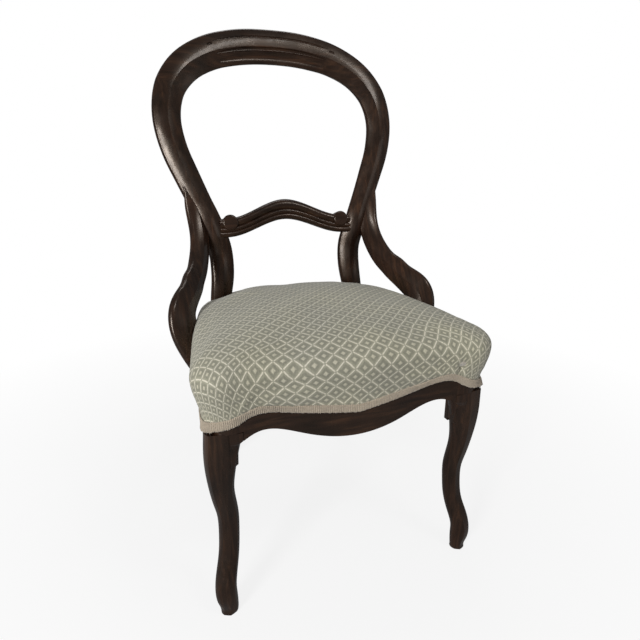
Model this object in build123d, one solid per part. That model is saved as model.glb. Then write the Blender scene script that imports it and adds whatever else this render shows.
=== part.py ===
"""Balloon back dining chair with a stuffed-over seat, in millimetres.

X runs to the right of someone facing the chair, the chair's front faces -Y and Z is up from the floor.
The origin lies on the floor, under the middle of the whole chair.
"""

from build123d import *
import os

os.makedirs("parts", exist_ok=True)

# ---------------------------------------------------------------- driving dimensions

# the balloon-shaped back
CHAIR_HEIGHT = 891  # floor to the top of the crest
CREST_FACE = 62  # height of the crest's face in the middle
BALLOON_WIDTH = 470  # over the widest part of the posts
BALLOON_FACE = 51  # width of a post's face there
WIDEST_HEIGHT = 728
WAIST_SPREAD = 266  # between the posts' centre lines at the waist
WAIST_HEIGHT = 478
POST_SPREAD = 288  # between the posts' centre lines at the seat
REAR_FOOT_SPREAD = 280
REAR_FOOT_BACK = 187  # rear feet behind the origin
POST_BACK = 130  # the posts behind the origin at the seat
BACK_LEAN = 0.2486  # slope of the back
BACK_BEND = 6.2  # the back's slow backward curve, over half its height
BACK_DISH = 15.3  # how far the sides of the back come forward at 190 mm from the middle
RIDGE_FRONT = 14.0  # from the middle of a post's thickness to the ridge on its face
ROUND_BACK = 11.0  # and to its rounded back

# three long flutes carved along the crest's face, with a rounded bead between the upper two
FLUTE_REACH = 112  # from the middle to a flute's end, along the crest
# place across the face, how far the face has fallen away there, half width, depth
FLUTES = ((16.0, 3.6, 2.4, 1.9), (-5.5, 0.1, 4.2, 2.8), (-19.5, 0.8, 8.0, 2.0))
DROP_LENGTH = 13  # a drop-shaped gouge beyond each end of the upper flute
DROP_DEPTH = 2.4
JOINT_OVERRUN = 60  # the crest and posts are lofted this far past their joint, then cut there

# the cross rail of the back
CROSS_RAIL_HEIGHT = 527.5  # its centre line at the posts
CROSS_RAIL_RISE = 31  # how far it arches up in the middle
CROSS_RAIL_END_FACE = 35
CROSS_RAIL_MID_FACE = 39
CROSS_RAIL_THICK = 20
CROSS_RAIL_HOUSING = 9  # how far its ends are let into the posts
CROSS_GROOVE = 2.2  # depth of the two grooves along its face
SCROLL_RADIUS = 15
SCROLL_THICK = 25

# seat frame
SEAT_WIDTH = 428  # over the front corners of the wooden frame
SEAT_REAR_WIDTH = 332  # over the side rails at the posts
FRONT_REACH = 238  # front of the frame to the origin
REAR_REACH = 144  # rear rail's outer face to the origin
SIDE_BOW = 5  # outward bow of the side rails
RAIL_TOP = 352
RAIL_DEPTH = 52  # height of the side and rear rails
RAIL_THICK = 22
FRONT_RAIL_THICK = 24
APRON_DROP = 82  # lowest point of the apron below the rail's top, in its middle
APRON_LIFT = 30  # how much higher the apron's arches are
LEG_BLOCK_WIDTH = 48
LEG_BLOCK_DEPTH = 41
LEG_CORNER_BOTTOM = 244  # the block's square inner corner ends here, in a small step
POST_BLOCK_WIDTH = 38
POST_BLOCK_DEPTH = 31
CORNER_BLOCK_HEIGHT = 42
CORNER_BLOCK_DROP = 6  # top of the corner blocks below the rails' top
CORNER_BLOCK_REACH = 58  # length of a corner block along each rail

# front legs
FRONT_FOOT_SPREAD = 402
FRONT_FOOT_BACK = -229
KNEE_OUT = 8  # the knee beyond the foot line
ANKLE_IN = 10
FOOT_WIDTH = 31.5

# hip brackets between the posts and the side rails
BRACKET_TOP = 606
BRACKET_ELBOW_SPREAD = 443
BRACKET_ELBOW_HEIGHT = 407
BRACKET_FACE = 46
BRACKET_THICK = 23
BRACKET_END_HEIGHT = 318
BRACKET_END_Y = -38

# upholstery
CROWN_HEIGHT = 427  # floor to the top of the cushion
EDGE_HEIGHT = 389  # where the cushion is widest
EDGE_ROLL = 12  # the cushion past the frame there
FRONT_BULGE = 1.25  # how much more the front bulges
COVER_EDGE = 307  # lower edge of the cover at the corners and sides
COVER_THICK = 1.6
COVER_SWAG = 25  # rise of the cover's lower edge over the apron's arches
COVER_MIDDLE_RISE = 2.5  # and in the middle of the front
GIMP_WIDTH = 12
GIMP_THICK = 2.0
WEBBING_WIDTH = 50
WEBBING_THICK = 1.5
HESSIAN_THICK = 1.0
DUST_COVER_THICK = 0.8
WEBBING_GAP = 10
WEBBING_INSET = 8  # the strips' ends to the rails' outer faces

# joints
DOWEL_RADIUS = 4.5
DOWEL_REACH = 14  # how far a dowel goes into each piece
BRACKET_DOWEL_REACH = 10  # past the bracket's centre line
SCREW_RADIUS = 2.3
SCREW_HEAD_RADIUS = 4.4
SCREW_HEAD_THICK = 3.0
SCREW_HEAD_SINK = 1.2  # how deep the bracket screws' heads are let into the rail
BRACKET_BITE = 9  # how far the bracket screws go into the bracket
BRACKET_SCREW_DROP = 8  # below the rail's top
FRONT_SCREW_LENGTH = 42  # corner screws
REAR_SCREW_LENGTH = 40
PEG_CLEARANCE = 0.1  # round dowels and screws
SOFT_GAP = 0.3  # between soft and hard pieces
FACET_ROOM = 1.1  # more, where the soft pieces are cut round a curved member


# ---------------------------------------------------------------- smooth lines and lofted members


def glide(marks, values, t):
    """Value at t on the smooth curve that passes through the values at the marks."""
    k = 0
    while k < len(marks) - 2 and t > marks[k + 1]:
        k += 1

    def slope(i):
        before = max(i - 1, 0)
        after = min(i + 1, len(marks) - 1)
        if before == i or after == i:
            return (values[after] - values[before]) / (marks[after] - marks[before])
        left = (values[i] - values[before]) / (marks[i] - marks[before])
        right = (values[after] - values[i]) / (marks[after] - marks[i])
        share = (marks[i] - marks[before]) / (marks[after] - marks[before])
        return left * (1 - share) + right * share

    span = marks[k + 1] - marks[k]
    u = (t - marks[k]) / span
    return (
        values[k] * (2 * u**3 - 3 * u**2 + 1)
        + slope(k) * span * (u**3 - 2 * u**2 + u)
        + values[k + 1] * (3 * u**2 - 2 * u**3)
        + slope(k + 1) * span * (u**3 - u**2)
    )


class Member:
    """A curved wooden member: its centre line and its section's sizes at a few stations.

    A station is (x, y, z, half width, ridge, back, edge, arris). ridge and back are the depths in front of
    and behind the centre line, edge is half the thickness where the rounded sides begin, and arris, from
    0 to 1, turns the rounded inner front edge into a crisp one.
    """

    def __init__(self, stations, facing):
        self.columns = list(zip(*stations))
        self.facing = facing
        self.marks = [0.0]
        for here, there in zip(stations, stations[1:]):
            self.marks.append(self.marks[-1] + (Vector(*there[:3]) - Vector(*here[:3])).length)

    def values(self, t):
        return [glide(self.marks, column, t) for column in self.columns]

    def spot(self, t):
        return Vector(*self.values(t)[:3])

    def frame(self, t):
        """Centre, direction along the member, outward direction and front direction at t."""
        step = 0.5
        low = max(t - step, self.marks[0])
        high = min(t + step, self.marks[-1])
        along = (self.spot(high) - self.spot(low)).normalized()
        spot = self.spot(t)
        front = self.facing(spot)
        front = (front - along * front.dot(along)).normalized()
        return spot, along, front.cross(along), front

    def at_height(self, z, t_low, t_high):
        """The t between two marks where the centre line is at height z, on a stretch that falls."""
        for _ in range(40):
            middle = (t_low + t_high) / 2
            if self.spot(middle).Z > z:
                t_low = middle
            else:
                t_high = middle
        return t_low

    def section(self, t, grow=0.0):
        spot, _, out, front = self.frame(t)
        half, ridge, back, edge, arris = self.values(t)[3:]
        half += grow
        ridge += grow
        back += grow
        edge += grow
        turn = min(5.0, 0.3 * half)  # reach of the rounded sides
        inner = turn * (1 - arris)
        inner_edge = edge + arris * (0.9 * ridge - edge)

        def point(u, v):
            return spot + out * u + front * v

        ridge_point = point(0, ridge)
        outer_front = point(half - turn, edge)
        outer_back = point(half - turn, -edge)
        inner_back = point(turn - half, -edge)
        inner_front = point(inner - half, inner_edge)
        belly = 0.55 + 0.25 * (edge / ridge)  # keeps the flanks slightly full
        return Wire(
            [
                Edge.make_three_point_arc(
                    ridge_point,
                    point(0.5 * (half - turn), ridge * (1 - belly) + edge * belly + 0.3 * (ridge - edge)),
                    outer_front,
                ),
                Edge.make_three_point_arc(outer_front, point(half, 0), outer_back),
                Edge.make_three_point_arc(outer_back, point(0, -back), inner_back),
                Edge.make_three_point_arc(
                    inner_back, point(-half + 0.4 * arris, 0.5 * (inner_edge - edge)), inner_front
                ),
                Edge.make_three_point_arc(
                    inner_front,
                    point(
                        0.5 * (inner - half),
                        ridge * (1 - belly) + inner_edge * belly + 0.3 * (ridge - inner_edge),
                    ),
                    ridge_point,
                ),
            ]
        )

    def solid(self, t_start, t_end, count, grow=0.0, ruled=False):
        step = (t_end - t_start) / (count - 1)
        sections = [self.section(t_start + k * step, grow) for k in range(count)]
        return Solid.make_loft(sections, ruled)

    def flute(self, t_start, t_end, across, fall, half_width, depth, count=9):
        """A long lens-shaped body that carves a flute into the face, fading out at both ends."""
        sections = []
        for k in range(count):
            share = 2 * k / (count - 1) - 1
            fade = max(1 - share**4, 0.12) ** 0.5
            t = t_start + (t_end - t_start) * k / (count - 1)
            spot, _, out, front = self.frame(t)
            face = self.values(t)[4] - fall

            def point(u, v):
                return spot + out * (across + u * fade) + front * (face + v)

            sections.append(
                Wire(
                    [
                        Edge.make_three_point_arc(
                            point(-half_width, 0.5), point(0, -depth * fade), point(half_width, 0.5)
                        ),
                        Edge.make_line(point(half_width, 0.5), point(half_width, 5)),
                        Edge.make_line(point(half_width, 5), point(-half_width, 5)),
                        Edge.make_line(point(-half_width, 5), point(-half_width, 0.5)),
                    ]
                )
            )
        return Solid.make_loft(sections)


def mirrored(shape):
    return shape.mirror(Plane.YZ)


def peg(start, end, radius):
    """A round peg between two points."""
    axis = end - start
    return Solid.make_cylinder(radius, axis.length, Plane(origin=start, z_dir=axis.normalized()))


def slab(x0, x1, y0, y1, z0, z1):
    return Solid.make_box(x1 - x0, y1 - y0, z1 - z0, Plane(origin=(x0, y0, z0)))


def only(shape):
    """The largest solid of a result, free of slivers."""
    solids = shape if isinstance(shape, list) else shape.solids()
    return max(solids, key=lambda piece: piece.volume)


# ---------------------------------------------------------------- the balloon: crest, posts, cross rail


def back_y(x, z):
    """The back's middle surface: it leans, bends slowly backwards and is dished across."""
    rise = (z - 570) / 285
    return 154.8 + BACK_LEAN * (z - 570) + BACK_BEND * rise**2 - BACK_DISH * (x / 190) ** 2


def back_facing(spot):
    """Front direction of the dished back."""
    return Vector(-2 * BACK_DISH * spot.X / 190**2, -1, 0)


CREST_LINE = CHAIR_HEIGHT - CREST_FACE / 2
WIDEST = (BALLOON_WIDTH - BALLOON_FACE) / 2

# x, z and half width down the right-hand side, from the middle of the crest to the waist; the arris of
# the crest's lower edge fades into the posts
ARCH = (
    (0, CREST_LINE, CREST_FACE / 2, 1.0),
    (70, CREST_LINE - 5, 31, 1.0),
    (126, CREST_LINE - 20, 29.8, 1.0),
    (170, CREST_LINE - 46.5, 28.4, 0.9),
    (WIDEST - 11, WIDEST_HEIGHT + 49, 27, 0.6),
    (WIDEST, WIDEST_HEIGHT, BALLOON_FACE / 2, 0.3),
    (WIDEST - 6, 678, 24.6, 0.0),
    (184.5, 624, 23.6, 0.0),
    (165, 576, 22.4, 0.0),
    (146.5, 530, 22.4, 0.0),
)
JOINT = 4  # the crest meets the posts at this station

right_side = []
for x, z, half, arris in ARCH:
    right_side.append((x, back_y(x, z), z, half, RIDGE_FRONT, ROUND_BACK, 6.5, arris))
right_side += [
    (WAIST_SPREAD / 2, POST_BACK + 8.5, WAIST_HEIGHT, 23, RIDGE_FRONT, 12, 7, 0),
    (WAIST_SPREAD / 2 + 1, POST_BACK + 2, 428, 22, RIDGE_FRONT, 13, 8, 0),
    (POST_SPREAD / 2 - 2, POST_BACK - 1, 376, 19.5, 14.5, 14.5, 10, 0),
    (POST_SPREAD / 2, POST_BACK, 322, POST_BLOCK_WIDTH / 2 - 0.5, 15, 15, 11, 0),
    (POST_SPREAD / 2 - 1, POST_BACK + 5, 240, 17.5, 15, 15, 11, 0),
    (POST_SPREAD / 2 - 2, POST_BACK + 25, 120, 15.5, 14.5, 14.5, 10.5, 0),
    (REAR_FOOT_SPREAD / 2, REAR_FOOT_BACK, 0, 14, 13.5, 13.5, 10, 0),
]
left_side = [(-station[0],) + station[1:] for station in reversed(right_side[1:])]
back_line = Member(left_side + right_side, back_facing)
middle = len(left_side)
crest_end = back_line.marks[middle + JOINT]
crest_start = back_line.marks[middle - JOINT]
foot_end = back_line.marks[-1]



def beyond(t, way):
    """Everything within reach on one side of the plane across the back's line at t."""
    spot, along, out, _ = back_line.frame(t)
    side = Plane(origin=spot, x_dir=out, z_dir=along * way)
    corner = spot - side.x_dir * 75 - side.y_dir * 75
    return Solid.make_box(150, 150, 2 * JOINT_OVERRUN, Plane(origin=corner, x_dir=out, z_dir=along * way))


crest = back_line.solid(crest_start - JOINT_OVERRUN, crest_end + JOINT_OVERRUN, 21)
crest_middle = back_line.marks[middle]
drops = []
for way in (-1, 1):
    place, fall, half_width, _ = FLUTES[0]
    ends = sorted([crest_middle + way * (FLUTE_REACH + 2), crest_middle + way * (FLUTE_REACH + DROP_LENGTH)])
    drops.append(back_line.flute(*ends, place - 3, fall - 1, half_width, DROP_DEPTH, 5))
flutes = [
    back_line.flute(crest_middle - FLUTE_REACH, crest_middle + FLUTE_REACH, *flute) for flute in FLUTES
]
crest = only(crest.cut(beyond(crest_start, -1), beyond(crest_end, 1), *flutes, *drops))
right_post = back_line.solid(crest_end - JOINT_OVERRUN, foot_end, 29)
right_post = only(right_post.cut(beyond(crest_end, -1)))

# a square block where the rails are joined to the post, proud of its inner and front faces
post_x = POST_SPREAD / 2
post_inner = post_x - POST_BLOCK_WIDTH / 2
post_outer = post_x + POST_BLOCK_WIDTH / 2
post_front = POST_BACK - POST_BLOCK_DEPTH / 2
post_rear = POST_BACK + POST_BLOCK_DEPTH / 2
RAIL_BOTTOM = RAIL_TOP - RAIL_DEPTH
post_block = slab(post_inner, post_outer - 2, post_front, post_rear - 2, RAIL_BOTTOM, RAIL_TOP)
right_post = right_post.fuse(post_block)


def foot_trim(shape):
    """Cuts a leg level with the floor."""
    return shape.cut(slab(-400, 400, -400, 400, -40, 0))


def waist_t(z):
    """Where the right post's centre line is at height z."""
    return back_line.at_height(z, crest_end, foot_end)


cross_t = waist_t(CROSS_RAIL_HEIGHT)
cross_face = back_line.spot(cross_t).X - back_line.values(cross_t)[3]  # the post's inner edge there
cross_end_x = cross_face + CROSS_RAIL_HOUSING


def cross_rail_section(x):
    """Section of the cross rail: a broad bead over two narrow ones on its face, flat behind."""
    share = min(abs(x) / (cross_face - SCROLL_RADIUS / 2), 1)
    arch = 1 - 3 * share**2 + 2 * share**3
    z = CROSS_RAIL_HEIGHT + CROSS_RAIL_RISE * arch
    half = (CROSS_RAIL_END_FACE + (CROSS_RAIL_MID_FACE - CROSS_RAIL_END_FACE) * arch) / 2
    spot = Vector(x, back_y(x, z), z)
    front = Vector(0, -1, BACK_LEAN).normalized()
    up = Vector(0, BACK_LEAN, 1).normalized()
    thick = CROSS_RAIL_THICK / 2

    def point(u, v):
        return spot + up * u + front * v

    ends = (half, 0.0, -0.48 * half, -half)  # the beads' edges, from the top down
    depths = (0.1 * thick, thick - CROSS_GROOVE, thick - CROSS_GROOVE, 0.1 * thick)
    crowns = (thick + 1, thick + 0.5, thick - 0.5)
    edges = []
    for k, crown in enumerate(crowns):
        edges.append(
            Edge.make_three_point_arc(
                point(ends[k], depths[k]),
                point(0.5 * (ends[k] + ends[k + 1]) + (0.12 * half if k == 0 else 0), crown),
                point(ends[k + 1], depths[k + 1]),
            )
        )
    lower = point(-half + 3, -thick)
    upper = point(half - 3, -thick)
    edges.append(Edge.make_three_point_arc(point(-half, depths[3]), point(-half + 0.8, -0.6 * thick), lower))
    edges.append(Edge.make_line(lower, upper))
    edges.append(Edge.make_three_point_arc(upper, point(half - 0.8, -0.6 * thick), point(half, depths[0])))
    return Wire(edges)


CROSS_SECTIONS = 13
cross_step = 2 * cross_end_x / (CROSS_SECTIONS - 1)
cross_rail = Solid.make_loft(
    [cross_rail_section(-cross_end_x + k * cross_step) for k in range(CROSS_SECTIONS)]
)


def scroll(side):
    """The round scroll that ends the cross rail against a post."""
    x = side * (cross_face - SCROLL_RADIUS + 4)
    z = CROSS_RAIL_HEIGHT + 8.5
    lean = Vector(0, -1, BACK_LEAN).normalized()
    start = Vector(x, back_y(x, z), z) - lean * (SCROLL_THICK / 2 - 1)
    drum = Solid.make_cylinder(SCROLL_RADIUS, SCROLL_THICK, Plane(origin=start, z_dir=lean))
    rim = drum.edges().filter_by(GeomType.CIRCLE)
    return drum.fillet(3.5, rim)


cross_rail = cross_rail.fuse(scroll(1), scroll(-1))
cross_rail = only(cross_rail.cut(right_post, mirrored(right_post)))

# ---------------------------------------------------------------- the seat's plan

HALF_FRONT = SEAT_WIDTH / 2
HALF_REAR = SEAT_REAR_WIDTH / 2
SEAT_MIDDLE = (REAR_REACH - FRONT_REACH) / 2
SEAT_HALF_LENGTH = (REAR_REACH + FRONT_REACH) / 2

# right-hand half of the plan, from the middle of the front to the middle of the rear; every second
# point is the middle of an arc
PLAN = (
    (0, -FRONT_REACH),
    (70, 4 - FRONT_REACH),
    (124, 7 - FRONT_REACH),
    (HALF_FRONT - 41, 1 - FRONT_REACH),
    (HALF_FRONT - 8.5, 10 - FRONT_REACH),
    (HALF_FRONT, 42 - FRONT_REACH),
    ((HALF_FRONT + HALF_REAR) / 2 + SIDE_BOW, (42 - FRONT_REACH + post_front) / 2),
    (HALF_REAR, post_front),
    (HALF_REAR - 4, REAR_REACH - 7),
    (HALF_REAR - 22, REAR_REACH - 1),
    (0, REAR_REACH + 2),
)


def seat_side_x(y):
    """X of the right side rail's outer face at y."""
    share = (post_front - y) / (post_front + FRONT_REACH - 42)
    return HALF_REAR + (HALF_FRONT - HALF_REAR) * share + SIDE_BOW * (1 - (2 * share - 1) ** 2)


def plan_wire(z, out=0.0, skin=0.0):
    """The seat's outline at height z, moved outwards by out and skin.

    The front bulges more than the sides, and the rear is flatter and rounds off sooner.
    """
    front_out = max(FRONT_BULGE * out, out) + skin
    rear_out = (0.3 * out if out > 0 else out + 0.6 * max(out, -30)) + skin

    def place(x, y):
        reach = front_out if y < SEAT_MIDDLE else rear_out
        return Vector(
            x * (1 + (out + skin) / HALF_FRONT),
            SEAT_MIDDLE + (y - SEAT_MIDDLE) * (1 + reach / SEAT_HALF_LENGTH),
            z,
        )

    right = [place(x, y) for x, y in PLAN]
    left = [place(-x, y) for x, y in PLAN]
    edges = [Edge.make_three_point_arc(left[1], right[0], right[1])]
    for k in range(1, len(PLAN) - 2, 2):
        edges.append(Edge.make_three_point_arc(right[k], right[k + 1], right[k + 2]))
    edges.append(Edge.make_three_point_arc(right[9], right[10], left[9]))
    for k in range(len(PLAN) - 2, 1, -2):
        edges.append(Edge.make_three_point_arc(left[k], left[k - 1], left[k - 2]))
    return Wire(edges)


def plan_prism(z0, z1, out=0.0):
    return Solid.extrude(Face(plan_wire(z0, out)), Vector(0, 0, z1 - z0))


def swag(middle_z, arch_z, corner_z, far_z=200):
    """A cupid's bow across the front, as a block between that line and far_z."""
    line = (
        (0, middle_z),
        (0.2 * SEAT_WIDTH, middle_z + 0.55 * (arch_z - middle_z)),
        (0.335 * SEAT_WIDTH, arch_z),
        (0.43 * SEAT_WIDTH, corner_z + 0.5 * (arch_z - corner_z)),
        (0.56 * SEAT_WIDTH, corner_z),
    )
    y = -FRONT_REACH - 40
    points = [Vector(-x, y, z) for x, z in reversed(line[1:])]
    points += [Vector(x, y, z) for x, z in line]
    edges = [
        Edge.make_spline(points),
        Edge.make_line(points[-1], Vector(points[-1].X, y, far_z)),
        Edge.make_line(Vector(points[-1].X, y, far_z), Vector(points[0].X, y, far_z)),
        Edge.make_line(Vector(points[0].X, y, far_z), points[0]),
    ]
    return Solid.extrude(Face(Wire(edges)), Vector(0, 100, 0))


# ---------------------------------------------------------------- front legs and seat rails

leg_inner = HALF_FRONT - LEG_BLOCK_WIDTH
leg_rear = LEG_BLOCK_DEPTH - FRONT_REACH
leg_x = HALF_FRONT - LEG_BLOCK_WIDTH / 2
leg_y = LEG_BLOCK_DEPTH / 2 - FRONT_REACH
foot_x = FRONT_FOOT_SPREAD / 2

leg_stations = (
    (leg_x + 2, leg_y, 340, LEG_BLOCK_WIDTH / 2 + 2, 19, 19.5, 15, 0),
    (leg_x + 2, leg_y, 300, LEG_BLOCK_WIDTH / 2 + 2.2, 19, 19.5, 15, 0),
    (foot_x + KNEE_OUT - 12, leg_y + 2, 258, 23.2, 18, 18, 14, 0),
    (foot_x + KNEE_OUT - 11, leg_y + 6, 208, 18, 16, 16, 12, 0),
    (foot_x - ANKLE_IN, leg_y + 11, 152, 15.6, 14, 14, 10.5, 0),
    (foot_x - ANKLE_IN + 3, leg_y + 6, 96, 15.2, 13.2, 13.2, 10, 0),
    (foot_x + 3, FRONT_FOOT_BACK + 1, 40, FOOT_WIDTH / 2, 14, 14, 10, 0),
    (foot_x + 1, FRONT_FOOT_BACK, 14, FOOT_WIDTH / 2 - 0.8, 13.2, 13.2, 9.5, 0),
    (foot_x, FRONT_FOOT_BACK, 0, FOOT_WIDTH / 2 - 3, 11.5, 11.5, 8, 0),
)
leg_member = Member(leg_stations, lambda spot: Vector(0, -1, 0))
right_leg = leg_member.solid(0, leg_member.marks[-1], 15)
frame_prism = plan_prism(RAIL_BOTTOM - 40, RAIL_TOP)
leg_block = only(
    plan_prism(COVER_EDGE - 2, RAIL_TOP).intersect(
        slab(leg_inner, HALF_FRONT + 20, -FRONT_REACH - 20, leg_rear, 200, RAIL_TOP)
    )
)
leg_top = slab(0, HALF_FRONT + 40, -FRONT_REACH - 40, 0, COVER_EDGE - 1, RAIL_TOP)
leg_corner = slab(leg_inner + 7.5, leg_x, leg_rear - 10, leg_rear - 0.5, LEG_CORNER_BOTTOM, COVER_EDGE)
right_leg = only(foot_trim(right_leg.cut(leg_top).fuse(leg_block, leg_corner)))

front_shell = frame_prism.cut(frame_prism.moved(Location((0, FRONT_RAIL_THICK, 0))))
between_legs = slab(-leg_inner, leg_inner, -FRONT_REACH - 20, 0, 200, RAIL_TOP)
apron_low = RAIL_TOP - APRON_DROP
front_rail = only(front_shell.intersect(between_legs))
apron_cut = swag(apron_low, apron_low + APRON_LIFT, apron_low - 9)
front_rail = only(front_rail.cut(apron_cut, right_leg, mirrored(right_leg)))

upper = plan_prism(RAIL_BOTTOM, RAIL_TOP)
side_shell = upper.cut(upper.moved(Location((-RAIL_THICK, 0, 0))))
right_rail = only(
    side_shell.intersect(slab(0, HALF_FRONT + 20, leg_rear, post_front, 200, RAIL_TOP))
)
rear_shell = upper.cut(upper.moved(Location((0, -RAIL_THICK, 0))))
right_post = only(foot_trim(right_post))
rear_rail = only(
    rear_shell.intersect(slab(-post_inner, post_inner, 0, REAR_REACH + 20, 200, RAIL_TOP))
)
rear_rail = only(rear_rail.cut(right_post, mirrored(right_post)))


def corner_block(corners, neighbours):
    """A brace glued into a corner of the frame, shaped by the pieces that it touches."""
    z0 = RAIL_TOP - CORNER_BLOCK_DROP - CORNER_BLOCK_HEIGHT
    wire = Wire([
        Edge.make_line(Vector(*a, z0), Vector(*b, z0)) for a, b in zip(corners, corners[1:] + corners[:1])
    ])
    block = Solid.extrude(Face(wire), Vector(0, 0, CORNER_BLOCK_HEIGHT))
    return only(block.cut(*neighbours))


front_corners = [
    (leg_inner - CORNER_BLOCK_REACH, leg_rear - 20),
    (leg_inner + 40, leg_rear - 20),
    (leg_inner + 40, leg_rear + CORNER_BLOCK_REACH),
    (leg_inner + 20, leg_rear + CORNER_BLOCK_REACH),
]
rear_corners = [
    (post_inner - CORNER_BLOCK_REACH, post_front + 14),
    (post_outer, post_front + 14),
    (post_outer, post_front - CORNER_BLOCK_REACH),
    (post_inner + 18, post_front - CORNER_BLOCK_REACH),
]
front_block = corner_block(front_corners, [front_rail, right_rail, right_leg])
rear_block = corner_block(rear_corners, [rear_rail, right_rail, right_post])

# ---------------------------------------------------------------- hip brackets

elbow_x = BRACKET_ELBOW_SPREAD / 2
face = BRACKET_FACE / 2
thick = BRACKET_THICK / 2
bracket_end_x = seat_side_x(BRACKET_END_Y)
top_spot = back_line.spot(waist_t(BRACKET_TOP))
bracket_stations = (
    (top_spot.X + 6, top_spot.Y - 4, BRACKET_TOP, 12, 6, 5, 3, 0),
    (top_spot.X - 1, top_spot.Y - 9, BRACKET_TOP - 42, face - 5, thick, thick - 2, 6, 0),
    (173, 119, 514, face - 3.5, thick + 1, thick - 1, 6.5, 0),
    (183, 81, 468, face - 2, thick + 1, thick - 0.5, 7, 0),
    (elbow_x - 20, 34, BRACKET_ELBOW_HEIGHT + 31, face + 1, thick + 1, thick - 0.5, 7, 0),
    (elbow_x, -12, BRACKET_ELBOW_HEIGHT, face + 3.5, thick, thick, 7, 0),
    (elbow_x - 4.5, -32, BRACKET_ELBOW_HEIGHT - 45, face - 2, thick, thick, 7, 0),
    (bracket_end_x + 6, BRACKET_END_Y, BRACKET_END_HEIGHT, face - 10, thick - 2, thick - 2, 6, 0),
)
bracket_member = Member(bracket_stations, lambda spot: Vector(-0.447, -0.894, 0))
bracket_end = bracket_member.marks[-1]
bracket_blank = bracket_member.solid(0, bracket_end, 15)
right_bracket = only(bracket_blank.cut(right_post, plan_prism(RAIL_BOTTOM - 40, RAIL_TOP + 1)))
bracket_room = bracket_member.solid(
    bracket_member.marks[3], bracket_end, 16, SOFT_GAP + FACET_ROOM, ruled=True
)

# ---------------------------------------------------------------- upholstery

# height, how far the cushion stands past the frame, and the share of a covering's thickness that
# lies on top rather than at the side
SEAT_LEVELS = (
    (RAIL_TOP - 56, 0.6, 0.0),
    (RAIL_TOP - 24, 0.12 * EDGE_ROLL, 0.0),
    (RAIL_TOP - 2, 0.55 * EDGE_ROLL, 0.0),
    (EDGE_HEIGHT - 18, 0.9 * EDGE_ROLL, 0.0),
    (EDGE_HEIGHT, EDGE_ROLL, 0.2),
    (EDGE_HEIGHT + 10, 0.45 * EDGE_ROLL, 0.6),
    (EDGE_HEIGHT + 17, -8, 0.9),
    (CROWN_HEIGHT - 15, -30, 1.0),
    (CROWN_HEIGHT - 8.5, -68, 1.0),
    (CROWN_HEIGHT - 3.5, -112, 1.0),
    (CROWN_HEIGHT - 0.6, -158, 1.0),
)
skin_stack = SOFT_GAP + COVER_THICK  # the levels above are those of the stuffing's surface


def seat_form(skin, count=len(SEAT_LEVELS)):
    """The crowned cushion form up to one of its levels, thicker all over by skin."""
    sections = []
    for z, out, up in SEAT_LEVELS:
        sections.append(plan_wire(z - skin_stack * up + skin * up, out, skin * (1 - up)))
    return Solid.make_loft(sections[:count], ruled=True)


post_room = slab(post_x + 5, 260, post_front - SOFT_GAP, REAR_REACH + 60, 200, CHAIR_HEIGHT)
post_grown = back_line.solid(waist_t(470), waist_t(270), 9, SOFT_GAP + FACET_ROOM)
block_room = slab(
    post_inner - SOFT_GAP, post_outer, post_front - SOFT_GAP, post_rear + 40, RAIL_BOTTOM, RAIL_TOP + SOFT_GAP
)
wood_room = [post_room, post_grown, block_room, bracket_room]
wood_room += [mirrored(room) for room in wood_room]

webbing_z = RAIL_TOP
hessian_z = webbing_z + 2 * WEBBING_THICK
pad_z = hessian_z + HESSIAN_THICK + SOFT_GAP
pad_form = seat_form(0)
cover_inner = seat_form(SOFT_GAP)
cover_outer = seat_form(SOFT_GAP + COVER_THICK)

below = slab(-300, 300, -300, 300, 200, pad_z)
stuffing = only(pad_form.cut(below, *wood_room))

line_heights = (COVER_EDGE + COVER_MIDDLE_RISE, COVER_EDGE + COVER_SWAG, COVER_EDGE)
edge_cut = swag(*line_heights)
side_cut = slab(-300, 300, -FRONT_REACH + 60, 300, 200, COVER_EDGE)
seat_cover = only(cover_outer.cut(cover_inner, edge_cut, side_cut, *wood_room))

gimp_inner = seat_form(2 * SOFT_GAP + COVER_THICK, 5)
gimp_outer = seat_form(2 * SOFT_GAP + COVER_THICK + GIMP_THICK, 5)
gimp_top = swag(*(z + GIMP_WIDTH for z in line_heights), far_z=CROWN_HEIGHT)
side_top = slab(-300, 300, -FRONT_REACH + 60, 300, COVER_EDGE + GIMP_WIDTH, CROWN_HEIGHT)
gimp = gimp_outer.cut(gimp_inner, edge_cut, side_cut, gimp_top, side_top, *wood_room)

hessian = only(plan_prism(hessian_z, hessian_z + HESSIAN_THICK, -WEBBING_INSET).cut(*wood_room))

webbing_pitch = WEBBING_WIDTH + WEBBING_GAP
lengthwise = []
for k in range(4):
    x = (k - 1.5) * webbing_pitch
    lengthwise.append(
        slab(
            x - WEBBING_WIDTH / 2,
            x + WEBBING_WIDTH / 2,
            WEBBING_INSET + 7 - FRONT_REACH,
            REAR_REACH - WEBBING_INSET,
            webbing_z + WEBBING_THICK,
            webbing_z + 2 * WEBBING_THICK,
        )
    )
crosswise = []
for k in range(5):
    y = SEAT_MIDDLE + (k - 2) * webbing_pitch
    half = seat_side_x(y + WEBBING_WIDTH / 2) - WEBBING_INSET
    crosswise.append(
        slab(
            -half, half, y - WEBBING_WIDTH / 2, y + WEBBING_WIDTH / 2, webbing_z, webbing_z + WEBBING_THICK
        )
    )

dust_z = RAIL_BOTTOM - DUST_COVER_THICK
leg_room = slab(
    leg_inner - SOFT_GAP, HALF_FRONT + 40, -FRONT_REACH - 40, leg_rear + SOFT_GAP, dust_z - 5, RAIL_BOTTOM + 5
)
dust_cover = only(
    plan_prism(dust_z, RAIL_BOTTOM, -WEBBING_INSET / 2).cut(
        front_rail, leg_room, mirrored(leg_room), right_post, mirrored(right_post)
    )
)

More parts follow.
